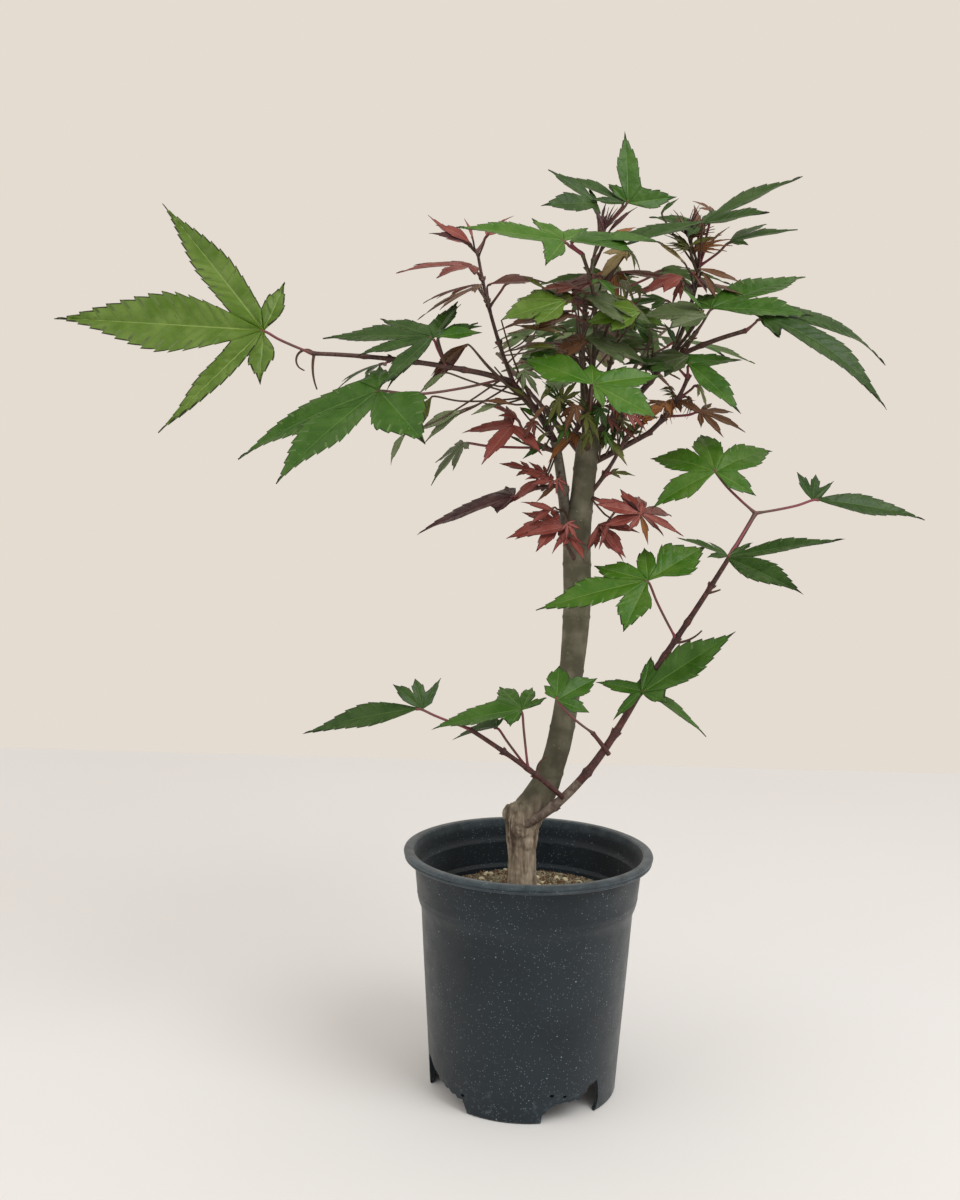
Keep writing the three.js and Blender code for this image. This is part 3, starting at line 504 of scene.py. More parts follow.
def strewn(name, material, ground, density, size, seed, fineness):
    """A piece of loose grains on a ground."""
    block = bmesh.new()
    bmesh.ops.create_icosphere(block, subdivisions=fineness, radius=1)
    for vertex in block.verts:
        wave = noise.noise(vertex.co * GRAIN_WAVES + Vector((seed, 0, 0)))
        vertex.co *= 1 + GRAIN_UNEVEN * wave
    mesh = bpy.data.meshes.new("grain")
    block.to_mesh(mesh)
    block.free()
    grain = bpy.data.objects.new("grain", mesh)
    bpy.context.collection.objects.link(grain)
    grains = bpy.data.objects.new(name, ground.data.copy())
    bpy.context.collection.objects.link(grains)
    rule = grains.modifiers.new("rule", "NODES")
    rule.node_group = scatter_tree(name + "_rule", material, grain)
    values = {"Density": float(density), "Size": float(size), "Seed": seed}
    for item in rule.node_group.interface.items_tree:
        if item.in_out == "INPUT" and item.name in values:
            rule[item.identifier] = values[item.name]
    applied(grains)
    bpy.data.objects.remove(grain)
    return grains


for name, colour, tones, density, size, seed, fineness in GRIT_KINDS:
    material, tree, shader = finish_of(name, colour, roughness=0.95, specular=0.2)
    base = colour
    for tone, *patch_sizes in tones:
        base = mixed(tree, patches_of(tree, *patch_sizes), base, tone)
    tree.links.new(base, shader.inputs["Base Color"])
    bumped(tree, shader, noise_of(tree, scale=3000, detail=3), strength=0.4, distance=0.0003)
    grains = strewn(name, material, soil, density, size, seed, fineness)
    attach(grains, "root")
    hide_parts("soil")


# Trunk
# A short old stump with fissured tan bark, a sawn-off shoulder at its left and a knot where the
# low bough leaves it, and the smooth olive-grey leader that was grafted on it.
TRUNK_SIDES = 40
TRUNK_STEPS = 14
TRUNK_VOXEL = 0.55
TRUNK_SMOOTHING = 8
# Stations of the trunk: height, place to the right and radius
TRUNK_STATIONS = [
    (86.5, -2.5, 9.6), (89.5, -2.5, 8.8), (96, -2.7, 7.4), (112, -3, 6.9), (124, -3.2, 7.6),
    (131, -2.0, 8.9), (138, 1.8, 9.0), (146, 6.2, 7.8), (155, 9.8, 6.4), (170, 13.8, 6),
    (200, 18, 5.8), (232, 20, 6.5), (262, 19.2, 6.6), (274, 19.4, 6.4), (286, 21, 5.6),
    (302, 22.2, 5.5), (315.6, 23.4, 5.4),
]
# Lumps of the stump: centre, radius and stretch upwards
STUMP_LUMPS = [
    ((-9.0, -1.5, 133.5), 4.1, 1.15), ((-6.5, -4.5, 137), 3.4, 0.9), ((-4.2, -6.4, 126.5), 3.7, 0.8),
    ((-0.6, -5.2, 120), 2.7, 1.4), ((-8.4, -3, 123), 2.6, 1.7),
]
# The graft: heights between which old bark turns into young, at its place to the right, and how
# steeply it falls to the right
GRAFT_FROM = 133
GRAFT_TO = 146
GRAFT_RIGHT = -2
GRAFT_SLOPE = 0.45
# Bark relief: height, waves per millimetre across and upwards, and seed
STUMP_RELIEF = [(0.9, 0.42, 0.07, 0), (0.45, 0.9, 0.16, 0), (0.3, 0.6, 0.5, 9)]
LEADER_RELIEF = [(0.1, 0.5, 0.35, 4)]
RELIEF_FROM = 87.5
RELIEF_TO = 315
KNOT = (-4.6, -9.6, 126.6)
KNOT_DEPTH = 2.2
KNOT_RADIUS = 2.1
LIP_HEIGHT = 0.7
LIP_RADIUS = 3.8
LIP_WIDTH = 1.2
LEADER_RINGS = [153, 176, 203, 229, 254, 279, 299]
RING_HEIGHT = 0.32
RING_WIDTH = 0.9
STUMP_TAN = "#aa9b88"
STUMP_DARK = "#5e5043"
STUMP_GREY = "#bfb3a0"
LEADER_OLIVE = "#5d5a49"
LEADER_PALE = "#7f7b68"
LEADER_DOT = "#a09b86"
# Painted shade on the leader, laid on in patches
LEADER_PAINTED_SHADE = "#46473a"
LEADER_FOOT = "#3a372a"
# In metres: heights over which the leader's dark foot fades and its colour takes over from the
# stump's, and how ragged that change is
FOOT_FADES = (0.15, 0.235)
COLOUR_CHANGES = (0.138, 0.150)
COLOUR_RAGGED = 0.012


def smooth_through(stations, steps):
    """A smooth run of values through stations, with so many steps between each two."""
    stations = [np.array(s, float) for s in stations]
    padded = [2 * stations[0] - stations[1], *stations, 2 * stations[-1] - stations[-2]]
    run = []
    for before, here, after, beyond in zip(padded, padded[1:], padded[2:], padded[3:]):
        for t in np.arange(0, 1, 1 / steps):
            run.append(0.5 * (
                2 * here + (after - before) * t
                + (2 * before - 5 * here + 4 * after - beyond) * t ** 2
                + (3 * here - before - 3 * after + beyond) * t ** 3
            ))
    run.append(stations[-1])
    return run


def bark_relief(place, kinds):
    """How far bark with some kinds of relief stands out at a place, in millimetres."""
    x, y, z = place
    return sum(
        height * noise.noise((x * across, y * across, z * upwards + seed))
        for height, across, upwards, seed in kinds
    )


def eased(low, high, value):
    """From 0 to 1 as the value goes from low to high, easing in and out."""
    share = min(1, max(0, (value - low) / (high - low)))
    return share * share * (3 - 2 * share)


trunk_bark, tree, shader = finish_of("trunk_bark", LEADER_OLIVE, roughness=0.85, specular=0.25)
fissures = patches_of(tree, scale=260, detail=6, low=0.36, high=0.6, stretch=(1, 1, 0.2))
stump_colour = mixed(tree, fissures, STUMP_DARK, STUMP_TAN)
fine_grain = noise_of(tree, scale=900, detail=4, stretch=(1, 1, 0.15))
crests = ramp_of(tree, fine_grain, low=0.52, high=0.68, most=0.6)
stump_colour = mixed(tree, crests, stump_colour, STUMP_GREY)
clouds = patches_of(tree, scale=110, detail=5, low=0.42, high=0.66)
leader_colour = mixed(tree, clouds, LEADER_OLIVE, LEADER_PALE)
dots = maths(tree, "MULTIPLY", specks(tree, scale=420, size=0.22, chance=0.25), 0.5)
leader_colour = mixed(tree, dots, leader_colour, LEADER_DOT)
# Painted shade: dark patches, stretched upright, over the leader's colour
shade_patches = patches_of(tree, scale=70, detail=3, low=0.55, high=0.7, most=0.6, stretch=(1, 1, 0.4))
leader_colour = mixed(tree, shade_patches, leader_colour, LEADER_PAINTED_SHADE)
foot_shade = ramp_of(tree, height_of(tree), *FOOT_FADES, least=0.5, most=0)
leader_colour = mixed(tree, foot_shade, leader_colour, LEADER_FOOT)
ragged = maths(tree, "MULTIPLY", noise_of(tree, scale=120, detail=3), COLOUR_RAGGED)
leader_share = ramp_of(tree, maths(tree, "ADD", height_of(tree), ragged), *COLOUR_CHANGES)
tree.links.new(mixed(tree, leader_share, stump_colour, leader_colour), shader.inputs["Base Color"])
bumped(tree, shader, fine_grain, strength=0.5, distance=0.0004)

points, faces = [], []
stations = smooth_through(TRUNK_STATIONS, TRUNK_STEPS)
for height, right, radius in stations:
    for side in range(TRUNK_SIDES):
        across, back = on_circle(radius, side, TRUNK_SIDES)
        points.append(Vector((right + across, back, height)))
for ring in range(len(stations) - 1):
    for side in range(TRUNK_SIDES):
        low, after = ring * TRUNK_SIDES, (side + 1) % TRUNK_SIDES
        faces.append([low + side, low + after, low + TRUNK_SIDES + after, low + TRUNK_SIDES + side])
faces.append(list(range(TRUNK_SIDES))[::-1])
faces.append([len(points) - TRUNK_SIDES + side for side in range(TRUNK_SIDES)])
trunk = piece_of("trunk_and_stump", points, faces, [trunk_bark])
stump = bmesh.new()
stump.from_mesh(trunk.data)
for centre, radius, tall in STUMP_LUMPS:
    lump = bmesh.ops.create_icosphere(stump, subdivisions=3, radius=radius)
    for vertex in lump["verts"]:
        vertex.co.z *= tall
        vertex.co += Vector(centre)
stump.to_mesh(trunk.data)
stump.free()
one_skin = trunk.modifiers.new("one_skin", "REMESH")
one_skin.mode = "VOXEL"
one_skin.voxel_size = TRUNK_VOXEL
smooth = trunk.modifiers.new("smooth", "SMOOTH")
smooth.iterations = TRUNK_SMOOTHING
applied(trunk)
mesh = trunk.data
normals = [Vector(vertex.normal) for vertex in mesh.vertices]
for vertex, normal in zip(mesh.vertices, normals):
    x, y, z = vertex.co
    old = 1 - eased(GRAFT_FROM, GRAFT_TO, z + GRAFT_SLOPE * (x - GRAFT_RIGHT))
    lift = old * bark_relief(vertex.co, STUMP_RELIEF) + (1 - old) * bark_relief(vertex.co, LEADER_RELIEF)
    from_knot = (vertex.co - Vector(KNOT)).length
    lift -= KNOT_DEPTH * hump(from_knot, KNOT_RADIUS)
    lift += LIP_HEIGHT * hump(from_knot - LIP_RADIUS, LIP_WIDTH)
    lift += (1 - old) * RING_HEIGHT * sum(hump(z - ring, RING_WIDTH) for ring in LEADER_RINGS)
    if z < RELIEF_FROM or z > RELIEF_TO:
        lift = 0
    vertex.co = at_plant(vertex.co + normal * lift)
mesh.materials.clear()
mesh.materials.append(trunk_bark)
mesh.shade_smooth()
mesh.update()
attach(trunk, "root")
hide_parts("trunk")


# Boughs
# The thick shoots of the plant, grey-brown where they are old and purple-brown where they are
# young, each with a swollen ring and a pair of buds at every node.
LIMB_STEP = 12
LIMB_SIDES = 12
LIMB_SMOOTHING = 6
FOOT_ROUNDING = 0.4
TIP_ROUNDING = 0.6
NEARLY_UPRIGHT = 0.1
SEAT = 0.3
BOUGH_SUNK = 1.2
# Each bough: where it starts or what it grows from, its first and last heading, rise and radius,
# its length and its bark. settle is above 1 where it bends most near its foot, and old bark
# reaches up to old_until, a share of its length.
BOUGHS = {
    "left_stem": dict(
        start=(14.5, 0, 266), heading=(205, 212), rise=(84, 76), length=46, radius=(2.9, 2.1), bark="grey"),
    "low_bough": dict(
        start=(-6, -5, 127), heading=(330, 368), rise=(28, 61), length=91, radius=(2.45, 1.5),
        settle=2, bark="red", old_bark="low", old_until=0.42),
    "left_bough": dict(
        grows_from="left_stem", heading=(196, 184), rise=(58, 44), length=35, radius=(1.75, 1.25),
        bark="red"),
    "middle_bough": dict(
        start=(9, -3, 307), heading=(352, 262), rise=(44, 84), length=48, radius=(1.45, 1.1), bark="purple"),
    "right_bough": dict(
        start=(23, 2, 311), heading=(8, -6), rise=(40, 58), length=62, radius=(1.75, 1.25), bark="purple"),
    "right_low_bough": dict(
        start=(22, 1, 300), heading=(2, 0), rise=(28, 30), length=35, radius=(1.6, 1.2), bark="purple"),
    "back_bough": dict(
        start=(23, 1, 308), heading=(82, 96), rise=(46, 30), length=58, radius=(1.6, 1.1), bark="purple"),
    "back_left_bough": dict(
        start=(22, 1, 303), heading=(140, 120), rise=(46, 32), length=54, radius=(1.5, 1), bark="purple"),
    "back_right_bough": dict(
        start=(22, 1, 296), heading=(52, 62), rise=(52, 44), length=62, radius=(1.5, 1), bark="purple"),
}
NODE_SPACING = 21
NODE_SWELL = 0.34
NODE_WIDTH = 1.5
BUDS_FROM = 0.06
BUDS_TO = 0.97
BUD_SIZE = 1.9
BUD_SIDES = 6
BUD_SEAT = 0.9
BUD_LEAN = 0.55
# A bud: places along it and its radius there, as shares of its size
BUD_SHAPE = [(-0.3, 0.3), (0.35, 0.36), (0.8, 0.2), (1, 0.06)]
# How far to each side of a place a limb's direction is taken, as a share of its length
WAY_SPAN = 0.05
# Barks: middle, dark and pale tone
BARKS = {
    "grey": ("#6d665a", "#4d463c", "#8b8577"),
    "low": ("#7d7064", "#54433c", "#9a8f80"),
    "purple": ("#593c35", "#3c2a28", "#80604f"),
    "red": ("#532d29", "#362020", "#7d5548"),
    "green_brown": ("#54462f", "#392f24", "#776744"),
}
BUD_SCALES = "#5b2f2b"
WITHERED_TIPS = "#564232"


def direction(heading, rise):
    """The unit vector at a heading round the plant and a rise above level, in degrees."""
    h, r = math.radians(heading), math.radians(rise)
    return Vector((math.cos(r) * math.cos(h), math.cos(r) * math.sin(h), math.sin(r)))


def between(low, high, share):
    """The value at a share of the way from low to high."""
    return low + (high - low) * share


def limb_path(start, heading, rise, length, settle):
    """The centre line of a limb: even steps while heading and rise turn to their last values."""
    steps = max(2, math.floor(length / LIMB_STEP + 0.5))
    path = [start]
    for step in range(steps):
        turned = 1 - (1 - (step + 0.5) / steps) ** settle
        way = direction(between(*heading, turned), between(*rise, turned))
        path.append(path[-1] + way * (length / steps))
    return path


def grown(plan, sunk):
    """A limb's centre line, and the same line with its foot sunk into the limb that bears it."""
    if "start" in plan:
        start = foot = Vector(plan["start"])
    else:
        parent = limbs[plan["grows_from"]]
        way = (parent[-1] - parent[-2]).normalized()
        start = parent[-1] + way * SEAT
        foot = start - way * sunk
    path = limb_path(start, plan["heading"], plan["rise"], plan["length"], plan.get("settle", 1))
    return path, [foot, *path[1:]]


def point_on(path, place):
    """The point at a share of a path's length."""
    spot = place * (len(path) - 1)
    step = min(int(spot), len(path) - 2)
    return path[step].lerp(path[step + 1], spot - step)


def way_on(path, place):
    """The direction of a path at a share of its length."""
    ahead = point_on(path, min(1, place + WAY_SPAN))
    return (ahead - point_on(path, max(0, place - WAY_SPAN))).normalized()


def fine_path(path, steps):
    """The same centre line, smoothed through its points."""
    return [Vector(p) for p in smooth_through([tuple(p) for p in path], steps)]


def node_shares(length):
    """The nodes of a limb, evenly spaced up to its tip, as shares of its length."""
    count = max(1, round(length / NODE_SPACING))
    return [(i + 1) / count for i in range(count)]


def finish_along(young, old=None, until=0):
    """A rule for a limb's finish by the share of its length: old up to a place, then young."""
    return lambda share: old if share < until else young


class Heap:
    """Points in millimetres and faces gathered for one piece, each face with a finish."""

    def __init__(self):
        self.points = []
        self.faces = []
        self.finishes = []

    def add(self, points, faces, finishes):
        """Takes in the points, faces and finishes of one part."""
        first = len(self.points)
        self.points += points
        self.faces += [[corner + first for corner in face] for face in faces]
        self.finishes += finishes

    def piece(self, name, materials, smooth_angle):
        """The gathered mesh as an object. materials maps a finish to a material."""
        used = [finish for finish in materials if finish in set(self.finishes)]
        numbers = [used.index(finish) for finish in self.finishes]
        points = np.array([tuple(p) for p in self.points]) * MM + np.array(POT_CENTRE)
        chosen = [materials[finish] for finish in used]
        return piece_of(name, points.tolist(), self.faces, chosen, numbers, smooth_angle)


def tube(heap, path, radii, sides, finish_at):
    """A round closed limb along a path, with a radius at each point and rounded ends."""
    last_step = len(path) - 1
    tangents = [
        (path[min(i + 1, last_step)] - path[max(i - 1, 0)]).normalized() for i in range(len(path))
    ]
    across = Vector((0, 0, 1)).cross(tangents[0])
    if across.length < NEARLY_UPRIGHT:
        across = Vector((0, 1, 0))
    points, faces, finishes = [path[0] - tangents[0] * radii[0] * FOOT_ROUNDING], [], []
    for centre, along, radius in zip(path, tangents, radii):
        across = (across - along * across.dot(along)).normalized()
        up = along.cross(across)
        for side in range(sides):
            right, high = on_circle(radius, side, sides)
            points.append(centre + across * right + up * high)
    tip = len(points)
    points.append(path[-1] + tangents[-1] * radii[-1] * TIP_ROUNDING)
    for side in range(sides):
        after = (side + 1) % sides
        faces.append([0, 1 + after, 1 + side])
        finishes.append(finish_at(0))
        for ring in range(last_step):
            low = 1 + ring * sides
            faces.append([low + side, low + after, low + sides + after, low + sides + side])
            finishes.append(finish_at(ring / last_step))
        faces.append([tip - sides + side, tip - sides + after, tip])
        finishes.append(finish_at(1))
    heap.add(points, faces, finishes)


def bud(heap, place, way):
    """A small pointed bud."""
    path = [place + way * BUD_SIZE * along for along, _ in BUD_SHAPE]
    radii = [BUD_SIZE * radius for _, radius in BUD_SHAPE]
    tube(heap, path, radii, BUD_SIDES, finish_along("bud"))


def limb(heap, path, radius, finish_at, nodes):
    """A limb with a swollen ring and two buds at each node, given as shares of its length."""
    fine = fine_path(path, LIMB_SMOOTHING)
    length = sum((b - a).length for a, b in zip(fine, fine[1:]))
    radii = []
    for i in range(len(fine)):
        share = i / (len(fine) - 1)
        swell = sum(hump((share - node) * length, NODE_WIDTH) for node in nodes)
        radii.append(between(*radius, share) * (1 + NODE_SWELL * min(1, swell)))
    tube(heap, fine, radii, LIMB_SIDES, finish_at)
    for number, node in enumerate(nodes):
        if BUDS_FROM <= node <= BUDS_TO:
            along = way_on(path, node)
            side = along.cross(Vector((0, 0, 1)) if number % 2 else Vector((0, 1, 0))).normalized()
            for way in (side, -side):
                start = point_on(path, node) + way * between(*radius, node) * BUD_SEAT
                bud(heap, start, (way * BUD_LEAN + along).normalized())


limb_finishes = {}
for name, (middle, dark, pale) in BARKS.items():
    material, tree, shader = finish_of(f"bark_{name}", middle, roughness=0.6, specular=0.4)
    colour = mixed(tree, patches_of(tree, scale=300, detail=4, low=0.35, high=0.65), dark, middle)
    flecks = patches_of(tree, scale=700, detail=3, low=0.55, high=0.75, most=0.7)
    tree.links.new(mixed(tree, flecks, colour, pale), shader.inputs["Base Color"])
    bumped(tree, shader, noise_of(tree, scale=1200, detail=3), strength=0.35, distance=0.0003)
    limb_finishes[name] = material
limb_finishes["bud"] = finish_of("bud_scales", BUD_SCALES, roughness=0.5)[0]
limb_finishes["withered"] = finish_of("withered_tips", WITHERED_TIPS, roughness=0.8, specular=0.2)[0]

limbs = {}
bough_heap = Heap()
for name, plan in BOUGHS.items():
    limbs[name], sunk_path = grown(plan, BOUGH_SUNK)
    bark = finish_along(plan["bark"], plan.get("old_bark"), plan.get("old_until", 0))
    limb(bough_heap, sunk_path, plan["radius"], bark, node_shares(plan["length"]))
boughs = bough_heap.piece("boughs", limb_finishes, smooth_angle=60)
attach(boughs, "root")
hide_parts(*BOUGHS)


# Leaves
# Lobed leaves with saw-toothed edges, each on its own thin red stalk in opposite pairs along
# young shoots: fresh green outside, bronze and red where they are young or shaded.
def even(*lobes):
    """The lobes of an even leaf, of which the middle and left ones are given."""
    return [(-angle, share) for angle, share in lobes[:0:-1]] + list(lobes)


# Leaf patterns: each lobe's angle from the middle one and its share of the leaf's length, from
# right to left; half the widest part of a lobe and the depth of the palm, as shares of the lobe
KINDS = {
    "broad": dict(lobes=even((0, 1), (50, 0.78), (100, 0.24)), width=0.13, palm=0.26),
    "cross": dict(lobes=even((0, 1), (70, 0.7), (126, 0.42)), width=0.17, palm=0.34),
    "arrow": dict(lobes=even((0, 1), (62, 0.36), (112, 0.26)), width=0.13, palm=0.46, cup=0.45),
    "slim": dict(lobes=even((0, 1), (38, 0.8), (74, 0.5)), width=0.13, palm=0.28),
    "tiny": dict(lobes=even((0, 1), (44, 0.55)), width=0.16, palm=0.34),
    "oval": dict(lobes=[(0, 1)], width=0.165, palm=0.24),
    "round": dict(lobes=[(0, 1)], width=0.27, palm=0.26),
    "fan": dict(lobes=even((0, 1), (34, 0.72)), width=0.25, palm=0.5),
    "leafy": dict(lobes=even((0, 1), (40, 0.76), (80, 0.42)), width=0.165, palm=0.3),
    "feather": dict(lobes=even((0, 1), (16, 0.9), (32, 0.74), (50, 0.55)), width=0.06, palm=0.12, fold=0.7),
    "far": dict(
        lobes=[(-105, 0.26, 0.19), (-48, 0.91, 0.085), (0, 1), (52, 0.66, 0.082), (93, 0.26, 0.24)],
        width=0.146, palm=0.19),
    "hung": dict(
        lobes=[(-128, 0.35, 0.2), (-29, 1.14, 0.125), (0, 1, 0.2), (79, 0.68, 0.3)], width=0.2, palm=0.28),
    "star": dict(
        lobes=[(-136, 0.42), (-94, 0.63), (-26, 0.64), (0, 1), (28, 0.64), (70, 0.73)],
        width=0.12, palm=0.28),
    "top": dict(lobes=[(-119, 0.5), (-52, 0.51), (0, 1), (72, 0.54)], width=0.17, palm=0.34),
    "crest_left": dict(lobes=[(-95, 0.3), (-49, 0.82, 0.19), (0, 1), (60, 0.3)], width=0.17, palm=0.3),
    "crest_top": dict(lobes=[(-79, 0.73), (0, 1), (46, 0.36)], width=0.16, palm=0.34),
    "crest_back": dict(lobes=[(-39, 0.45), (0, 1), (41, 0.52)], width=0.15, palm=0.32),
    "fork": dict(lobes=[(-46, 0.68), (0, 1), (48, 0.3)], width=0.16, palm=0.32),
    "high_fork": dict(lobes=[(-50, 0.36), (0, 1), (38, 0.86)], width=0.16, palm=0.32),
    "right": dict(lobes=[(-46, 0.83), (0, 1), (72, 0.32), (120, 0.3)], width=0.2, palm=0.34),
    "drooping": dict(
        lobes=[(-34, 0.24), (0, 1, 0.11), (38.5, 0.95, 0.125), (137, 0.41)], width=0.14, palm=0.3),
    "elbow": dict(lobes=[(-76, 1.36), (0, 1), (131, 0.68)], width=0.16, palm=0.3),
    "front": dict(
        lobes=[(-85, 0.42), (-46, 1.04, 0.24), (0, 1.04, 0.18), (75, 0.42), (135, 1.2, 0.24)], width=0.17,
        palm=0.36),
    "low_top": dict(
        lobes=[(-133, 0.67), (-63, 1.16), (0, 1), (48, 1.13), (105, 1.03)], width=0.2, palm=0.34),
    "low_outer": dict(lobes=[(-51, 0.93, 0.14), (0, 1, 0.11), (40, 0.3)], width=0.15, palm=0.26),
    "low_middle": dict(
        lobes=[(-152, 0.66, 0.29), (-98, 0.41), (-34, 0.51), (0, 1, 0.16), (55, 0.55, 0.27)], width=0.21,
        palm=0.34),
    "low_inner": dict(lobes=[(-57, 0.24), (0, 1), (44, 0.36)], width=0.16, palm=0.36),
    "talon": dict(lobes=[(-84, 0.68), (0, 1), (62, 0.8)], width=0.13, palm=0.26),
    "lance": dict(lobes=[(0, 1)], width=0.125, palm=0.2),
    "ridge": dict(
        lobes=[(-150, 0.35), (-112, 0.5), (-71, 0.6), (0, 1), (56, 0.3)], width=0.17, palm=0.42),
    "crown": dict(lobes=[(-54, 1.12, 0.08), (-14, 0.9, 0.18), (24, 1.05, 0.17)], width=0.17, palm=0.5),
    "knee": dict(lobes=[(-110, 0.73), (-50, 1.11), (0, 1), (38, 0.47)], width=0.23, palm=0.4),
    "dark": dict(lobes=[(-79, 0.37), (0, 1), (50, 0.3)], width=0.15, palm=0.4),
    "claw": dict(lobes=[(-140, 0.6), (-60, 0.83), (0, 1), (63, 0.84)], width=0.14, palm=0.28),
}
# The blade: its fold along the ribs, its thickness, which thins out from rib to edge and to the
# tip, and the widths of ribs and edges. All three grow with the blade: each is multiplied by its
# LEAST and the blade's length over its GROWTH together. RIB_MOST, RIB_ROOM and MARGIN_FROM keep
# ribs and edges narrower than the lobe.
FOLD = 0.22
BLADE_THICKNESS = 0.45
THICK_LEAST = 0.6
THICK_GROWTH = 150
THIN_OUT = 0.8
THIN_TIP = 0.6
RIB_WIDTH = 0.55
RIB_LEAST = 0.5
RIB_GROWTH = 120
RIB_TAPER = 0.75
RIB_MOST = 0.4
RIB_ROOM = 0.3
EDGE_WIDTH = 0.5
EDGE_LEAST = 0.4
EDGE_GROWTH = 120
TOP_COLUMNS = 5
EDGE_COLUMN = TOP_COLUMNS - 2
MARGIN_FROM = 0.55
UNDER_COLUMNS = (0, 0.5, 1)
LEAST_CURL = 0.01
LEAST_REACH = 1e-6
# Its lobes: where they are widest, the powers of their taper, where the dark tip starts, and
# ranges for the width, droop and sideways sweep of each
WIDEST = 0.36
TAPER_IN = 1.4
TAPER_OUT = 1.5
TIP_FROM = 0.93
LEAST_WIDTH = 0.12
LOBE_WIDTHS = (0.94, 1.1)
LOBE_DROOPS = (-0.01, 0.06)
LOBE_SWEEPS = (-0.035, 0.035)
# Its teeth, and the places along a tooth where the edge has a corner
TOOTH_PITCH = 5
TOOTHED_SHARE = 0.8
LEAST_TEETH = 2
MOST_TEETH = 13
TOOTH_DEPTH = 0.13
TOOTH_LEAN = 0.24
TOOTH_RISE = 4
TOOTH_FADE = 0.35
TOOTH_MIDDLE = 0.55
TOOTH_PLACES = (0.0, 0.3, 0.62, 0.86, 0.95)
# Its ribs and veins: a vein runs out to each tooth, and the blade is quilted between them
VEIN_PLACE = 0.86
VEIN_SLANT = 0.8
RIB_FIRST = 0.02
RIB_STEP = 0.002
RIB_LAST = 0.985
QUILT = 0.8
QUILT_SIZE = 70
QUILT_AT_VEIN = 0.35
WAVE = 0.013
WAVES = 1.4
# Its palm, where lobes are joined, and its heel beside the stalk
PALM_ROWS = 3
PALM_PLACE = 0.5
HEEL_ANGLE = 24
HEEL_SHARE = 0.6
# The stalk: bends as shares of its length and bow, its swollen foot and head, and its ends
STALK_RADIUS = 0.68
FINE_STALK_RADIUS = 0.5
STALK_SIDES = 8
STALK_SMOOTHING = 5
STALK_BOWS = (0.01, 0.05)
STALK_BENDS = [(0.35, 0.8), (0.7, 1)]
STALK_WAIST = 0.88
STALK_FOOT = 0.55
STALK_FOOT_LENGTH = 1.8
STALK_HEAD = 0.25
STALK_HEAD_LENGTH = 2.5
STALK_END = 1.5
STALK_INTO_BLADE = 1.6
BLADE_STEP = 1.4
SPRAY_SUNK = 1.5

# Tints: upper face, rib, edge and underside
TINTS = {
    "light": ("#4c6a14", "#7c944a", "#2b2c16", "#637840"),
    "bright": ("#3b6710", "#678638", "#262f14", "#68834a"),
    "green": ("#31580d", "#587c34", "#222b12", "#5f7842"),
    "deep": ("#24420a", "#46622a", "#19210e", "#4c6336"),
    "olive": ("#50571a", "#777b44", "#332618", "#6f7448"),
    "bronze": ("#5e3c24", "#835f42", "#3a2119", "#6a4d36"),
    "maroon": ("#5c2e24", "#7f4d3e", "#301614", "#6b4535"),
    "grey": ("#485631", "#707c58", "#2c2c1a", "#616e4c"),
    "orange": ("#8a5226", "#ac7c4e", "#5c2c1e", "#8a643e"),
    "red": ("#7d3a31", "#a3635a", "#4a1f20", "#85544c"),
    "wine": ("#38191b", "#643c3a", "#231114", "#50302f"),
    "pale": ("#75875a", "#9fab86", "#45422e", "#8b9270"),
    "tan": ("#96804e", "#b8a67e", "#5e4a2c", "#9c8a62"),
}
RED_TINTS = ("bronze", "maroon", "orange", "red", "wine", "tan")
SHOOT_BARKS = {
    "left": "purple", "top": "green_brown", "right": "purple", "low": "red", "back": "green_brown",
}

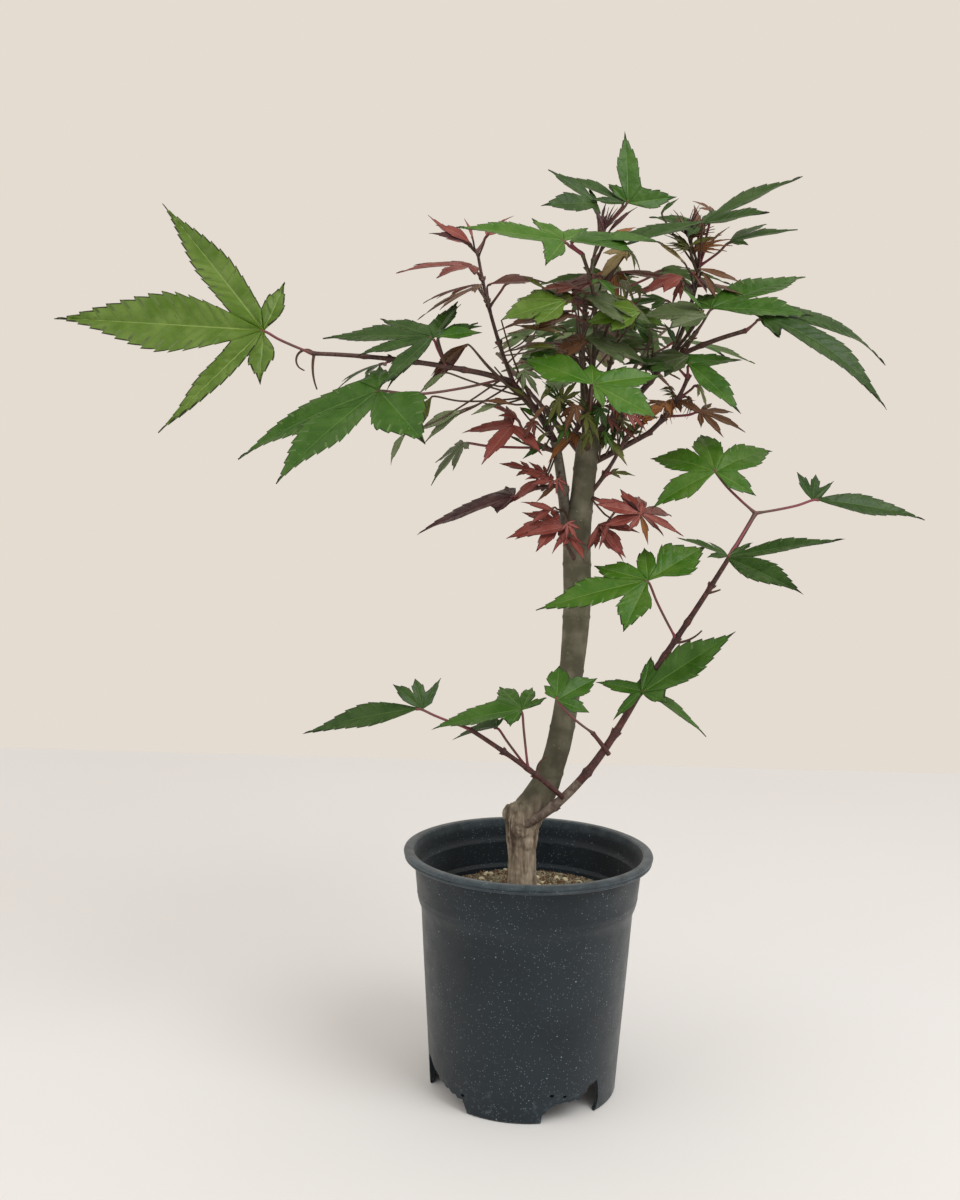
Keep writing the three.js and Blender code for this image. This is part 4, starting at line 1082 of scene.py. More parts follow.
# Sprays, each a stem with its leaves. A leaf is: tint, pattern, place along the stem, stalk
# length, stalk heading and rise, blade length, blade heading, rise and roll, and the bend
# along its lobes. Lobes that hang another way follow as further blades on the same stalk.
# The back sprays have seeded pairs instead, and open_to_sky numbers those in front of the sky.
SPRAYS = {
    "far_left_spray": dict(
        grows_from="left_bough", heading=(202, 186), rise=(10, 0), length=92, radius=(1.35, 0.9),
        group="left",
        leaves=[
            ("light", "far", 1, 23, 189, 23, 98, 176, 3, -68, 8),
            ("deep", "star", 0.34, 17, 242, 43, 54, 165, 5, -39, 8),
            ("green", "hung", 0.03, 62, 205, -8, 62, 207, -35, -28, 12),
            ("deep", "slim", 0.62, 14, 110, -5, 26, 160, -12, -10, 25),
        ]),
    "upper_left_spray": dict(
        start=(-12, -5, 336), heading=(128, 130), rise=(56, 74), length=72, radius=(1.05, 0.7), group="left",
        leaves=[
            ("red", "tiny", 1, 7, 180, 37, 22, 180, 20, -30, -30),
            ("red", "tiny", 1, 9, 20, 60, 13, 20, 44, 30, 10),
            ("red", "slim", 0.8, 9, 146, 50, 38, 200, -2, -17, 12),
            ("maroon", "slim", 0.64, 10, 217, 47, 27, 192, -14, -8, 12),
            ("bronze", "tiny", 0.6, 15, 320, 46, 20, 4, 8, 12, 15),
        ]),
    "top_left_spray": dict(
        grows_from="middle_bough", heading=(285, 200), rise=(80, 64), length=46, radius=(1.05, 0.8),
        group="top",
        leaves=[
            ("bright", "top", 1, 10, 175, 33, 48, 182, 8, -35, 4),
            ("green", "fan", 1, 8, 186, 40, 42, 4, 6, 22, 8),
            ("olive", "tiny", 0.72, 2, 30, 80, 12, 0, 84, 0, 5),
            ("green", "tiny", 0.72, 5, 300, 10, 17, 300, -25, 0, 20),
            ("olive", "fan", 0.5, 10, 200, 20, 24, 190, -6, -30, 14),
            ("bronze", "fan", 0.3, 12, 200, 20, 30, 188, -4, -24, 12),
            ("maroon", "fan", 0.58, 10, 210, 20, 16, 185, 0, -30, 10),
        ]),
    "crest_spray": dict(
        start=(22, 3, 308), heading=(140, 20), rise=(84, 76), length=104, radius=(1.25, 0.75), group="top",
        leaves=[
            ("deep", "crest_left", 1, 14, 252, 62, 34, 221, -5, -56, 6),
            ("green", "crest_top", 1, 19, 350, 47, 35, 100, 83, 1, 4),
            ("deep", "crest_back", 1, 18, 348, 50, 35, 176, 28, -38, 10),
            ("wine", "tiny", 1, 4, 40, 75, 12, 20, 80, 0, 0),
            ("orange", "slim", 0.72, 16, 350, 40, 24, 190, -62, -30, 10),
            ("olive", "slim", 0.72, 18, 340, 45, 26, 10, -55, 30, 10),
            ("bronze", "lance", 0.45, 14, 210, 10, 26, 200, -4, -20, 14),
            ("light", "fan", 0.62, 14, 230, 30, 25, 200, -4, -34, 12),
            ("light", "fan", 0.56, 14, 320, 30, 30, 340, -8, 34, 14),
            ("maroon", "fan", 0.66, 10, 215, 20, 17, 195, -4, -24, 14),
            ("orange", "tiny", 0.87, 12, 330, 50, 18, 30, 34, 24, 10),
            ("maroon", "lance", 0.68, 20, 330, 40, 32, 350, -4, 30, 12),
            ("green", "fan", 0.38, 16, 222, 20, 18, 205, -10, -30, 14),
        ]),
    "upper_right_spray": dict(
        grows_from="right_bough", heading=(25, 10), rise=(66, 84), length=38, radius=(1.15, 0.85),
        group="top",
        leaves=[
            ("deep", "fork", 1, 20, 265, 60, 51, -1, 30, 26, 4, ("fork", 43, 183, -6, -32, 6)),
            ("deep", "high_fork", 1, 17, 342, 38, 32, 355, 16, 28, 6),
            ("bronze", "tiny", 1, 26, 10, 78, 12, 150, 40, -20, 20),
            ("bronze", "slim", 0.76, 5, 330, 0, 26, 0, -2, 16, 16),
            ("red", "lance", 0.76, 8, 190, 5, 24, 180, -4, -36, 24),
            ("orange", "tiny", 1, 8, 330, 70, 15, 350, 50, 20, 10),
            ("bronze", "tiny", 1, 14, 240, 80, 15, 120, 80, 0, 10),
            ("green", "tiny", 0.4, 14, 206, 24, 24, 190, -6, -30, 12),
        ]),
    "right_spray": dict(
        start=(58, 4, 349), heading=(318, 338), rise=(24, 14), length=42, radius=(1.3, 1), group="right",
        leaves=[
            ("deep", "drooping", 1, 9, 311, 34, 71, 328, -15, 32, 50),
            ("green", "right", 0.26, 24, 317, 54, 55, 20, 25, 26, 10),
        ]),
    "lower_right_spray": dict(
        grows_from="right_low_bough", heading=(346, 300), rise=(46, 62), length=32, radius=(1.2, 0.9),
        group="right",
        leaves=[
            ("green", "elbow", 0.95, 8, 260, 46, 28, 14, 12, 35, 12),
            ("bronze", "slim", 0.3, 16, 350, 8, 23, 346, -16, 34, 16),
            ("deep", "fan", 0.95, 9, 205, 40, 25, 196, 4, -24, 14),
            ("olive", "tiny", 0.6, 12, 10, 38, 14, 0, -60, 30, 20),
            ("orange", "tiny", 0.35, 8, 250, 40, 20, 232, -20, -20, 30),
            ("bronze", "tiny", 0.25, 10, 330, 50, 16, 320, -10, 30, 30),
        ]),
    "front_spray": dict(
        start=(22.5, 0, 305), heading=(268, 266), rise=(32, 40), length=30, radius=(1.3, 1), group="right",
        leaves=[
            ("bright", "front", 1, 17, 272, 50, 31, 9, 13, 54, 8),
            ("orange", "tiny", 0.5, 6, 200, 20, 20, 205, -34, -20, 20),
            ("olive", "tiny", 0.5, 6, 340, 20, 20, 335, -40, 20, 20),
        ]),
    "red_left_spray": dict(
        start=(9, -3, 306), heading=(206, 212), rise=(16, 26), length=18, radius=(1.2, 1), group="left",
        leaves=[
            ("red", "claw", 1, 9, 187, 39, 29, 233, -35, -16, 8),
            ("grey", "leafy", 0.4, 38, 184, 2, 25, 193, -48, -12, 4),
            ("red", "tiny", 1, 10, 180, 60, 20, 175, 30, -20, 10),
        ]),
    "dark_red_spray": dict(
        start=(11.5, -2, 291), heading=(205, 200), rise=(-4, -8), length=14, radius=(1.1, 0.9), group="left",
        leaves=[
            ("wine", "dark", 1, 11, 195, -23, 49, 176, -16, -22, 10),
            ("red", "tiny", 0.7, 10, 170, 50, 15, 178, 14, -40, 10),
        ]),
    "left_sprig": dict(
        start=(19.5, -2, 254), heading=(250, 215), rise=(30, 58), length=16, radius=(1.1, 0.8), group="left",
        leaves=[
            ("red", "leafy", 1, 9, 190, 74, 26, 190, -10, -44, 14),
            ("red", "tiny", 1, 4, 300, 40, 17, 300, -30, 0, 16),
        ]),
    "right_sprig": dict(
        start=(20, -1, 258), heading=(320, 340), rise=(34, 62), length=18, radius=(1.1, 0.8), group="right",
        leaves=[
            ("red", "tiny", 1, 5, 240, 28, 22, 311, -40, 55, 11),
            ("red", "slim", 1, 19, 340, 24, 31, 46, 6, 38, 20),
            ("red", "tiny", 1, 16, 30, 50, 22, 40, -6, 10, 20),
        ]),
    "twig_sprig": dict(
        start=(22, -1, 284), heading=(350, 346), rise=(50, 66), length=34, radius=(1.1, 0.8), group="right",
        leaves=[
            ("olive", "tiny", 0.45, 3, 330, 20, 12, 0, 2, 30, 10),
            ("olive", "tiny", 1, 3, 340, 60, 14, 10, 40, 30, 10),
        ]),
    "low_left_spray": dict(
        start=(15, -14, 145), heading=(214, 180), rise=(40, 32), length=58, radius=(1.3, 1), group="low",
        leaves=[
            ("deep", "lance", 1, 25, 179, 21, 57, 180, -8, -40, 20, ("crown", 17, 147, 60, -35, 8)),
            ("green", "ridge", 0.42, 30, 243, 74, 42, 184, -7, -24, 8),
            ("deep", "arrow", 0.42, 24, 172, 52, 26, 150, -14, -20, 10),
        ]),
    "low_knee_spray": dict(
        start=(36, -14, 166), heading=(208, 200), rise=(52, 48), length=14, radius=(1.2, 0.9), group="low",
        leaves=[
            ("green", "knee", 1, 38, 235, 31, 21, 86, 47, 2, 10),
        ]),
    "low_right_spray": dict(
        grows_from="low_bough", heading=(2, -28), rise=(57, 62), length=98, radius=(1.6, 0.95), group="low",
        leaves=[
            ("green", "low_inner", 0.02, 5, 258, -23, 52, -2, 36, 55, 6,
             ("talon", 24, 157, 9, -51, 10), ("lance", 37, 349, -23, 21, 24)),
            ("bright", "low_middle", 0.3, 33, 212, 57, 53, 180, -12, -46, 8),
            ("deep", "low_outer", 1, 32, 231, -38, 51, -15, 15, 27, 8, ("tiny", 24, 178, 24, -20, 8)),
            ("bright", "low_top", 1, 26, 170, 44, 32, 103, 51, -17, 30),
            ("deep", "lance", 1, 30, 13, 13, 54, 0, -4, 45, 14, ("crown", 14, 112, 77, -6, 4)),
        ]),
    "back_spray": dict(
        grows_from="back_bough", heading=(94, 104), rise=(30, 14), length=70, radius=(1.1, 0.7),
        group="back", seed=11, pairs=3, open_to_sky=(1, 3, 5)),
    "back_left_spray": dict(
        grows_from="back_left_bough", heading=(112, 100), rise=(30, 14), length=60, radius=(1.1, 0.7),
        group="back", seed=23, pairs=3, open_to_sky=(1,)),
    "back_right_spray": dict(
        grows_from="back_right_bough", heading=(70, 60), rise=(34, 22), length=70, radius=(1.1, 0.7),
        group="back", seed=37, pairs=3, open_to_sky=(1, 2)),
    "back_top_spray": dict(
        start=(24, 3, 309), heading=(46, 64), rise=(72, 62), length=86, radius=(1.1, 0.7),
        group="back", seed=51, pairs=3),
}
# Small leaves of the inner and the back crown: limb and place along it, foot of the blade, tint,
# pattern, blade length, heading, rise and roll, and the bend along its lobes
FINE_LEAVES = [
    ("upper_left_spray", 0.6, (-26, -12, 381), "maroon", "round", 27, 0, 12, 26, 10),
    ("upper_left_spray", 0.62, (-29, -16, 380), "bronze", "leafy", 33, 180, -20, -14, 14),
    ("crest_spray", 0.5, (26, -20, 385), "maroon", "fan", 27, 180, -16, -26, 8),
    ("top_left_spray", 0.5, (9, -32, 372), "light", "fan", 31, 180, -15, -38, 6),
    ("crest_spray", 0.3, (14, -22, 369), "maroon", "lance", 38, 180, -8, -24, 6),
    ("crest_spray", 0.42, (15, -12, 378), "pale", "round", 22, 0, 13, 26, 10),
    ("crest_spray", 0.36, (17, -26, 375), "grey", "fan", 35, 0, -13, 26, 14),
    ("crest_spray", 0.3, (42, -32, 368), "light", "fan", 25, 180, -6, -44, 10),
    ("middle_bough", 0.9, (9, -12, 363), "tan", "lance", 26, 180, -2, -24, 8),
    ("middle_bough", 0.8, (9, -16, 354), "olive", "lance", 18, 180, -6, -16, 14),
    ("middle_bough", 0.85, (20, -24, 356), "bronze", "fan", 18, 180, -14, -44, 14),
    ("middle_bough", 0.95, (18, -24, 357), "grey", "fan", 32, 0, -14, 30, 8),
    ("right_bough", 0.9, (67, -12, 351), "grey", "fan", 25, 180, -12, -34, 10),
    ("upper_right_spray", 0.7, (67, -6, 390), "maroon", "fan", 18, 0, -30, 34, 20),
    ("upper_right_spray", 0.66, (63, -10, 387), "red", "fan", 20, 180, -10, -30, 34),
    ("upper_right_spray", 0.7, (64, -4, 387), "red", "lance", 14, 180, -62, -44, 20),
    ("crest_spray", 0.66, (38, -8, 399), "tan", "fork", 20, 180, -40, -60, 20),
    ("crest_spray", 0.72, (39, -4, 399), "olive", "slim", 13, 0, -46, 30, 30),
    ("upper_right_spray", 1, (67, 2, 407), "bronze", "feather", 15, 180, 68, -40, 20),
    ("upper_right_spray", 1, (66, -2, 406), "wine", "feather", 16, 0, 84, 30, 20),
    ("upper_right_spray", 1, (67, -4, 405), "bronze", "feather", 16, 0, 56, 40, 20),
    ("upper_right_spray", 0.95, (69, -2, 400), "orange", "feather", 20, 0, 29, 40, 24),
    ("upper_right_spray", 0.95, (67, -4, 400), "olive", "feather", 16, 180, 43, -40, 24),
    ("middle_bough", 0.3, (8, -20, 329), "deep", "slim", 12, 180, 56, -40, 20),
    ("middle_bough", 0.3, (9, -20, 329), "olive", "slim", 13, 0, 61, 40, 20),
    ("middle_bough", 0.2, (7, -22, 324), "deep", "slim", 11, 180, -43, -40, 20),
    ("middle_bough", 0.4, (22, -22, 324), "olive", "feather", 13, 180, 50, -40, 20),
    ("middle_bough", 0.4, (22, -22, 324), "bronze", "feather", 12, 0, 83, 40, 20),
    ("middle_bough", 0.4, (22, -22, 324), "bronze", "feather", 12, 0, 42, 40, 20),
    ("right_low_bough", 0.5, (38, -16, 330), "orange", "slim", 11, 180, -48, -40, 60),
    ("right_low_bough", 0.6, (45, -16, 328), "red", "slim", 11, 0, -57, 40, 60),
    ("right_low_bough", 0.4, (33, -12, 321), "deep", "slim", 11, 180, -54, -50, 20),
    ("right_low_bough", 0.4, (34, -12, 321), "deep", "slim", 11, 0, -58, 50, 20),
    ("right_low_bough", 0.5, (35, -14, 322), "olive", "slim", 12, 0, -27, 40, 20),
    ("lower_right_spray", 0.5, (61, -6, 332), "orange", "feather", 13, 180, -58, -40, 60),
    ("lower_right_spray", 0.6, (62, -4, 334), "olive", "slim", 7, 180, 40, -40, 60),
    ("lower_right_spray", 0.6, (69, 0, 334), "bronze", "feather", 12, 0, -65, 40, 60),
    ("left_bough", 0.9, (-9, -14, 343), "pale", "slim", 14, 0, -50, 50, 20),
    ("left_stem", 0.9, (3, -14, 294), "red", "oval", 23, 180, -28, -44, 20),
    ("left_stem", 0.95, (3, -12, 296), "red", "slim", 14, 180, 14, -40, 10),
    ("left_stem", 0.7, (8, -14, 294), "red", "slim", 9, 0, -58, 60, 10),
    ("left_stem", 0.3, (16, -16, 272), "red", "lance", 27, 180, -4, -40, 14),
    ("left_stem", 0.3, (15, -18, 272), "red", "lance", 15, 180, -49, -50, 14),
    ("left_stem", 0.3, (13, -18, 274), "red", "slim", 10, 0, -55, 60, 10),
    ("twig_sprig", 0.1, (46, -20, 279), "red", "lance", 23, 0, -18, 40, 14),
    ("twig_sprig", 0.1, (46, -19, 279), "orange", "lance", 15, 0, -67, 60, 14),
    ("twig_sprig", 0.1, (46, -21, 279), "wine", "lance", 12, 180, 46, 40, 14),
    ("twig_sprig", 0.1, (46, -22, 278), "red", "leafy", 24, 180, 20, -50, 10),
    ("right_sprig", 0.9, (28, -18, 274), "red", "oval", 20, 0, -5, 44, 14),
    ("right_sprig", 0.8, (28, -18, 273), "red", "lance", 20, 0, -51, 50, 10),
    ("right_sprig", 0.8, (28, -16, 273), "red", "lance", 14, 180, -62, -50, 10),
    ("far_left_spray", 0.34, (-48, -26, 357), "deep", "oval", 34, 180, -40, -44, 14),
    ("far_left_spray", 0.34, (-48, -24, 357), "green", "oval", 21, 0, 16, 44, 10),
    ("far_left_spray", 0.34, (-48, -24, 356), "deep", "oval", 18, 0, 59, 30, 10),
    ("left_bough", 0.5, (-34, -16, 354), "maroon", "oval", 29, 180, -43, -50, 10),
    ("left_bough", 0.5, (-34, -17, 354), "bronze", "oval", 22, 180, -33, -40, 16),
    ("left_bough", 0.7, (-44, -18, 341), "pale", "lance", 16, 180, -36, -50, 10),
    ("left_bough", 0.7, (-50, -18, 330), "olive", "oval", 20, 180, -61, -60, 20),
    ("left_bough", 0.95, (-36, -18, 324), "pale", "oval", 24, 180, -21, -50, 14),
    ("left_bough", 0.95, (-38, -18, 322), "pale", "lance", 21, 180, -33, -50, 14),
    ("left_bough", 0.7, (-19, -20, 327), "pale", "oval", 14, 180, -14, -40, 14),
    ("far_left_spray", 0.04, (-61, -24, 313), "pale", "lance", 17, 180, -49, -50, 40),
    ("left_bough", 0.1, (2, -18, 309), "deep", "oval", 12, 180, -23, -50, 30),
    ("left_stem", 0.98, (-10, -16, 326), "green", "oval", 10, 0, -20, 50, 30),
    ("left_stem", 0.9, (-14, -12, 313), "green", "lance", 8, 0, -22, 50, 10),
    ("left_bough", 0.9, (-23, -12, 336), "pale", "lance", 6, 180, 8, -50, 10),
    ("right_bough", 0.8, (73, -22, 368), "grey", "fan", 30, 180, 5, -36, 10),
    ("right_bough", 0.8, (71, -20, 371), "green", "oval", 14, 180, 47, -40, 10),
    ("right_bough", 0.8, (72, -20, 371), "olive", "oval", 18, 180, -20, -36, 16),
    ("upper_right_spray", 0.75, (70, -8, 391), "bronze", "lance", 23, 0, -11, 40, 14),
    ("upper_right_spray", 0.75, (72, -8, 390), "bronze", "oval", 15, 0, -55, 50, 20),
    ("upper_right_spray", 0.6, (63, -12, 384), "red", "oval", 8, 180, -76, -50, 20),
    ("upper_right_spray", 0.95, (70, -18, 410), "deep", "oval", 40, 180, -14, -30, 8),
    ("upper_right_spray", 0.95, (52, -10, 415), "deep", "lance", 11, 0, 48, 50, 20),
    ("upper_right_spray", 0.9, (66, -8, 401), "olive", "oval", 13, 0, 30, 40, 20),
    ("right_bough", 0.95, (61, -10, 356), "deep", "oval", 12, 180, 69, -40, 20),
    ("right_bough", 0.95, (68, -6, 357), "olive", "lance", 12, 0, 68, 40, 20),
    ("right_bough", 0.7, (50, -12, 357), "deep", "oval", 10, 180, 54, -40, 20),
    ("right_bough", 0.6, (48, -18, 362), "green", "oval", 12, 180, 31, -40, 20),
    ("lower_right_spray", 0.5, (61, -4, 337), "olive", "oval", 6, 180, 7, -50, 40),
    ("crest_spray", 0.3, (30, -24, 369), "light", "round", 13, 180, -31, -40, 10),
    ("crest_spray", 0.3, (31, -24, 369), "bright", "round", 13, 0, -19, 40, 10),
    ("middle_bough", 0.95, (7, -26, 359), "tan", "lance", 22, 180, 10, -36, 8),
    ("middle_bough", 0.95, (14, -26, 359), "pale", "oval", 11, 180, -16, -50, 10),
    ("top_left_spray", 0.45, (0, -24, 378), "olive", "oval", 12, 180, 30, -40, 10),
    ("top_left_spray", 0.5, (7, -24, 377), "bright", "oval", 8, 0, -26, 44, 10),
    ("crest_spray", 0.55, (38, -16, 375), "olive", "oval", 9, 180, 22, -40, 20),
    ("crest_spray", 0.5, (44, -10, 376), "olive", "oval", 9, 180, 82, 30, 20),
    ("upper_left_spray", 0.98, (-34, -8, 400), "red", "oval", 20, 180, 39, -50, 30),
    ("upper_left_spray", 0.98, (-35, -8, 400), "wine", "lance", 19, 180, 27, -50, 30),
    ("upper_left_spray", 0.95, (-33, -6, 402), "red", "lance", 11, 180, 74, -30, 20),
    ("upper_left_spray", 0.96, (-27, -4, 404), "red", "lance", 16, 0, 50, 30, 20),
    ("upper_left_spray", 0.8, (-29, -8, 386), "red", "lance", 10, 180, 34, -40, 16),
    ("far_left_spray", 0.34, (-48, -30, 355), "green", "round", 21, 0, 15, 40, 10),
    ("twig_sprig", 0.1, (46, -23, 279), "red", "oval", 22, 180, 14, -46, 10),
    ("upper_right_spray", 0.85, (64, -6, 394), "tan", "lance", 18, 180, 40, -40, 10),
    ("upper_right_spray", 0.9, (66, -6, 400), "olive", "feather", 12, 180, 12, -40, 10),
    ("upper_right_spray", 0.95, (67, -4, 406), "bronze", "feather", 12, 0, 24, 30, 10),
    ("crest_spray", 0.8, (28, -2, 406), "wine", "lance", 14, 180, 71, -40, 10),
    ("crest_spray", 0.8, (29, 0, 407), "wine", "lance", 18, 0, 50, 40, 10),
    ("crest_spray", 0.9, (28, -2, 409), "wine", "feather", 12, 0, 78, 40, 10),
    ("crest_spray", 0.5, (33, -26, 368), "olive", "round", 16, 180, 21, -40, 10),
    ("middle_bough", 0.95, (5, -28, 352), "olive", "oval", 14, 180, 6, -40, 10),
    ("left_bough", 0.6, (-14, -22, 327), "bronze", "oval", 13, 180, 15, -40, 20),
    ("left_bough", 0.1, (4, -22, 320), "deep", "round", 12, 0, 55, 40, 20),
    ("left_bough", 0.1, (5, -24, 318), "olive", "oval", 9, 0, -14, 50, 20),
    ("left_bough", 0.1, (-1, -24, 329), "olive", "oval", 9, 0, 54, 50, 20),
    ("lower_right_spray", 0.3, (59, -10, 327), "bronze", "oval", 11, 180, 36, -50, 30),
    ("right_low_bough", 0.6, (37, -14, 325), "bronze", "oval", 10, 180, 27, -50, 30),
    ("right_low_bough", 0.8, (48, -14, 325), "orange", "oval", 7, 180, -31, -50, 40),
    ("left_stem", 0.3, (8, -15, 279), "red", "lance", 17, 180, 21, -44, 14),
    ("left_stem", 0.3, (7, -15, 281), "red", "oval", 14, 180, -33, -50, 14),
    ("left_stem", 0.6, (6, -14, 293), "red", "leafy", 16, 180, 19, -34, 14),
    ("left_stem", 0.6, (8, -14, 291), "bronze", "lance", 12, 180, -34, -50, 20),
    ("twig_sprig", 0.1, (33, -20, 276), "red", "lance", 15, 180, -65, -50, 20),
    ("left_bough", 0.1, (3, -24, 315), "olive", "oval", 10, 180, -39, -50, 30),
    ("right_bough", 0.9, (64, -10, 369), "green", "oval", 12, 0, -65, 50, 20),
    ("crest_spray", 0.6, (35, -14, 377), "bronze", "lance", 16, 0, -34, 40, 10),
    ("crest_spray", 0.5, (51, -12, 354), "green", "round", 16, 180, 56, -40, 10),
    ("middle_bough", 0.2, (8, -26, 330), "olive", "leafy", 14, 180, -61, -40, 14),
    ("middle_bough", 0.3, (15, -28, 327), "bronze", "leafy", 14, 180, -65, -40, 14),
    ("front_spray", 0.6, (19, -30, 323), "olive", "leafy", 14, 0, -55, 40, 14),
    ("front_spray", 0.7, (26, -28, 326), "deep", "leafy", 14, 180, -68, -40, 14),
    ("front_spray", 0.4, (29, -24, 322), "maroon", "leafy", 11, 0, -38, 40, 14),
    ("front_spray", 0.3, (12, -24, 319), "green", "leafy", 12, 180, -59, -40, 14),
    ("front_spray", 0.3, (22, -26, 316), "olive", "leafy", 12, 180, -65, -50, 14),
    ("middle_bough", 0.1, (2, -24, 327), "bronze", "oval", 11, 180, -43, -40, 14),
    ("right_low_bough", 0.2, (31, -24, 331), "red", "leafy", 12, 0, -46, 40, 14),
    ("right_low_bough", 0.3, (38, -22, 325), "red", "leafy", 13, 0, -34, 40, 14),
    ("right_low_bough", 0.5, (46, -20, 321), "orange", "leafy", 11, 0, 43, 40, 14),
    ("right_low_bough", 0.3, (35, -20, 318), "maroon", "oval", 12, 0, -25, 40, 14),
    ("right_low_bough", 0.2, (28, -22, 316), "green", "leafy", 12, 0, -56, 40, 14),
    ("left_bough", 0.05, (-3, -22, 320), "maroon", "leafy", 11, 180, -56, -40, 14),
    ("left_bough", 0.3, (-7, -20, 330), "olive", "oval", 10, 180, 36, -40, 14),
    ("back_left_spray", 0.9, (8, 118, 368), "green", "leafy", 36, 100, -14, -8, 16),
    ("back_spray", 1, (20, 116, 373), "green", "leafy", 34, 92, -10, 6, 14),
    ("back_spray", 0.5, (30, 95, 380), "bright", "leafy", 34, 96, -8, 8, 14),
    ("back_left_spray", 0.6, (2, 92, 374), "bright", "leafy", 34, 118, -6, -8, 14),
    ("back_left_spray", 0.95, (-2, 112, 372), "olive", "leafy", 28, 138, -8, -8, 14),
    ("back_spray", 0.7, (40, 104, 378), "green", "leafy", 34, 66, -8, 8, 14),
    ("back_top_spray", 0.8, (40, 42, 394), "olive", "leafy", 30, 110, 0, -8, 14),
    ("back_bough", 0.8, (24, 58, 362), "green", "leafy", 30, 100, -4, 8, 14),
    ("back_right_spray", 0.4, (58, 70, 366), "green", "leafy", 32, 96, -6, 8, 14),
    ("back_right_spray", 0.6, (50, 92, 371), "green", "leafy", 36, 110, -12, 10, 14),
    ("back_right_spray", 0.9, (56, 110, 382), "bright", "leafy", 34, 84, -6, -8, 14),
]
FINE_SWING = 14
# Bare twigs and withered tips: limb and place along it, heading, first and last rise, length
BARE_TWIGS = [
    ("left_stem", 0.98, 188, 56, 72, 62),
    ("left_bough", 0.3, 186, 44, 48, 34),
    ("far_left_spray", 0.99, 182, 30, -150, 17),
    ("far_left_spray", 0.99, 200, -80, -110, 16),
    ("low_right_spray", 0.28, 20, 0, 40, 16),
    ("low_right_spray", 0.56, 10, 10, 20, 7),
    ("right_spray", 0.2, 340, 70, 20, 12),
    ("low_left_spray", 0.3, 200, 70, 160, 12),
]
TWIG_RADIUS = (0.75, 0.35)
TWIG_STEPS = 6
TWIG_SIDES = 6
TWIG_SMOOTHING = 3
# Leaves drawn by seed: where on the stem they start, ranges in millimetres and degrees for each
# measure, patterns, tints, and the factors of the run of numbers
PAIR_FROM = 0.34
PAIR_STALK = (16, 30)
PAIR_SPREAD = (48, 82)
PAIR_RISE = (6, 34)
PAIR_BLADE = (40, 62)
PAIR_DROOP = (-16, 2)
PAIR_ROLL = (-14, 14)
PAIR_TURN = 12
PAIR_TRIES = 5
PAIR_CURL = (8, 20)
PAIR_KINDS = ("broad", "broad", "cross", "slim")
PAIR_TINTS = ("green", "bright", "green", "olive", "green", "bronze")
SEED_STEP = 7919
SEED_START = 13
RUN_FACTOR = 16807
RUN_LENGTH = 2147483647
# How near the solid a seeded leaf's tip has to stand, in metres
TIP_NEAR = 0.0012
LEAF_ROUGHNESS = {"upper": 0.42, "vein": 0.48, "rib": 0.48, "edge": 0.48, "under": 0.6}
LEAF_GLOSS = 0.28
VEIN_SHARE = 0.2
STALK_MIDDLE = "#6f3a3e"
STALK_RED = "#7c3540"
STALK_BROWN = "#5a4034"
FINE_STALK_BROWN = "#4e3b2e"


def leaf_place(kind, base, shape):
    """A rule that turns places on a flat leaf into places on the bent leaf in space."""
    size, heading, rise, roll, curl = shape
    along = direction(heading, rise)
    level = direction(heading + 90, 0)
    raised = along.cross(level)
    turn = math.radians(roll)
    side = level * math.cos(turn) + raised * math.sin(turn)
    normal = along.cross(side)
    bend = math.radians(curl or LEAST_CURL) / size
    cup = KINDS[kind].get("cup", 0)
    axes = [np.array(axis) for axis in (along, side, normal)]

    def placed(flat):
        x, y, lift = flat.T
        far = np.maximum(np.hypot(x, y), LEAST_REACH)
        shrink = np.sin(bend * far) / (bend * far)
        z = lift + cup * np.abs(y) - (1 - np.cos(bend * far)) / bend
        moved = (np.outer(run, axis) for run, axis in zip((x * shrink, y * shrink, z), axes))
        return sum(moved, np.array(base))

    return placed


def edge_rows(reach, half, notch, teeth):
    """Places down one side of a lobe, from the leaf's heart past the notch to the tip: along,
    across, place in its tooth, share of the way from notch to tip."""
    notch_x, notch_y = notch
    rows = [
        (notch_x * q / PALM_ROWS, notch_y * q / PALM_ROWS, PALM_PLACE, 0)
        for q in range(1, PALM_ROWS + 1)
    ]
    for tooth in range(teeth):
        for place in TOOTH_PLACES:
            share = (tooth + place) / teeth
            if share == 0:
                continue
            if share < WIDEST:
                width = notch_y + (half - notch_y) * math.sin(math.pi / 2 * share / WIDEST)
            else:
                past = (share - WIDEST) / (1 - WIDEST)
                width = half * (1 - past ** TAPER_IN) ** TAPER_OUT
            fading = min(1, share * TOOTH_RISE) * (1 - share) ** TOOTH_FADE
            cut = TOOTH_DEPTH * half * fading * (place - TOOTH_MIDDLE)
            ahead = TOOTH_LEAN * (reach - notch_x) / teeth * place * fading
            along = notch_x + (reach - notch_x) * share + ahead
            rows.append((along, max(width + cut, LEAST_WIDTH), place, share))
    return rows


def notch_of(pattern, size, number, sign):
    """Where a lobe parts from its neighbour on one side, or from the stalk, and the number of
    the seam that the two lobes share."""
    lobes = pattern["lobes"]
    angle, share = lobes[number][:2]
    after = number + sign
    if 0 <= after < len(lobes):
        other_angle, other_share = lobes[after][:2]
        gap = math.radians(abs(other_angle - angle) / 2)
        deep = size * pattern["palm"] * (share + other_share) / 2
        seam = min(number, after)
    else:
        gap = math.radians(HEEL_ANGLE)
        deep = size * pattern["palm"] * share * HEEL_SHARE
        seam = None
    return (deep * math.cos(gap), deep * math.sin(gap)), seam


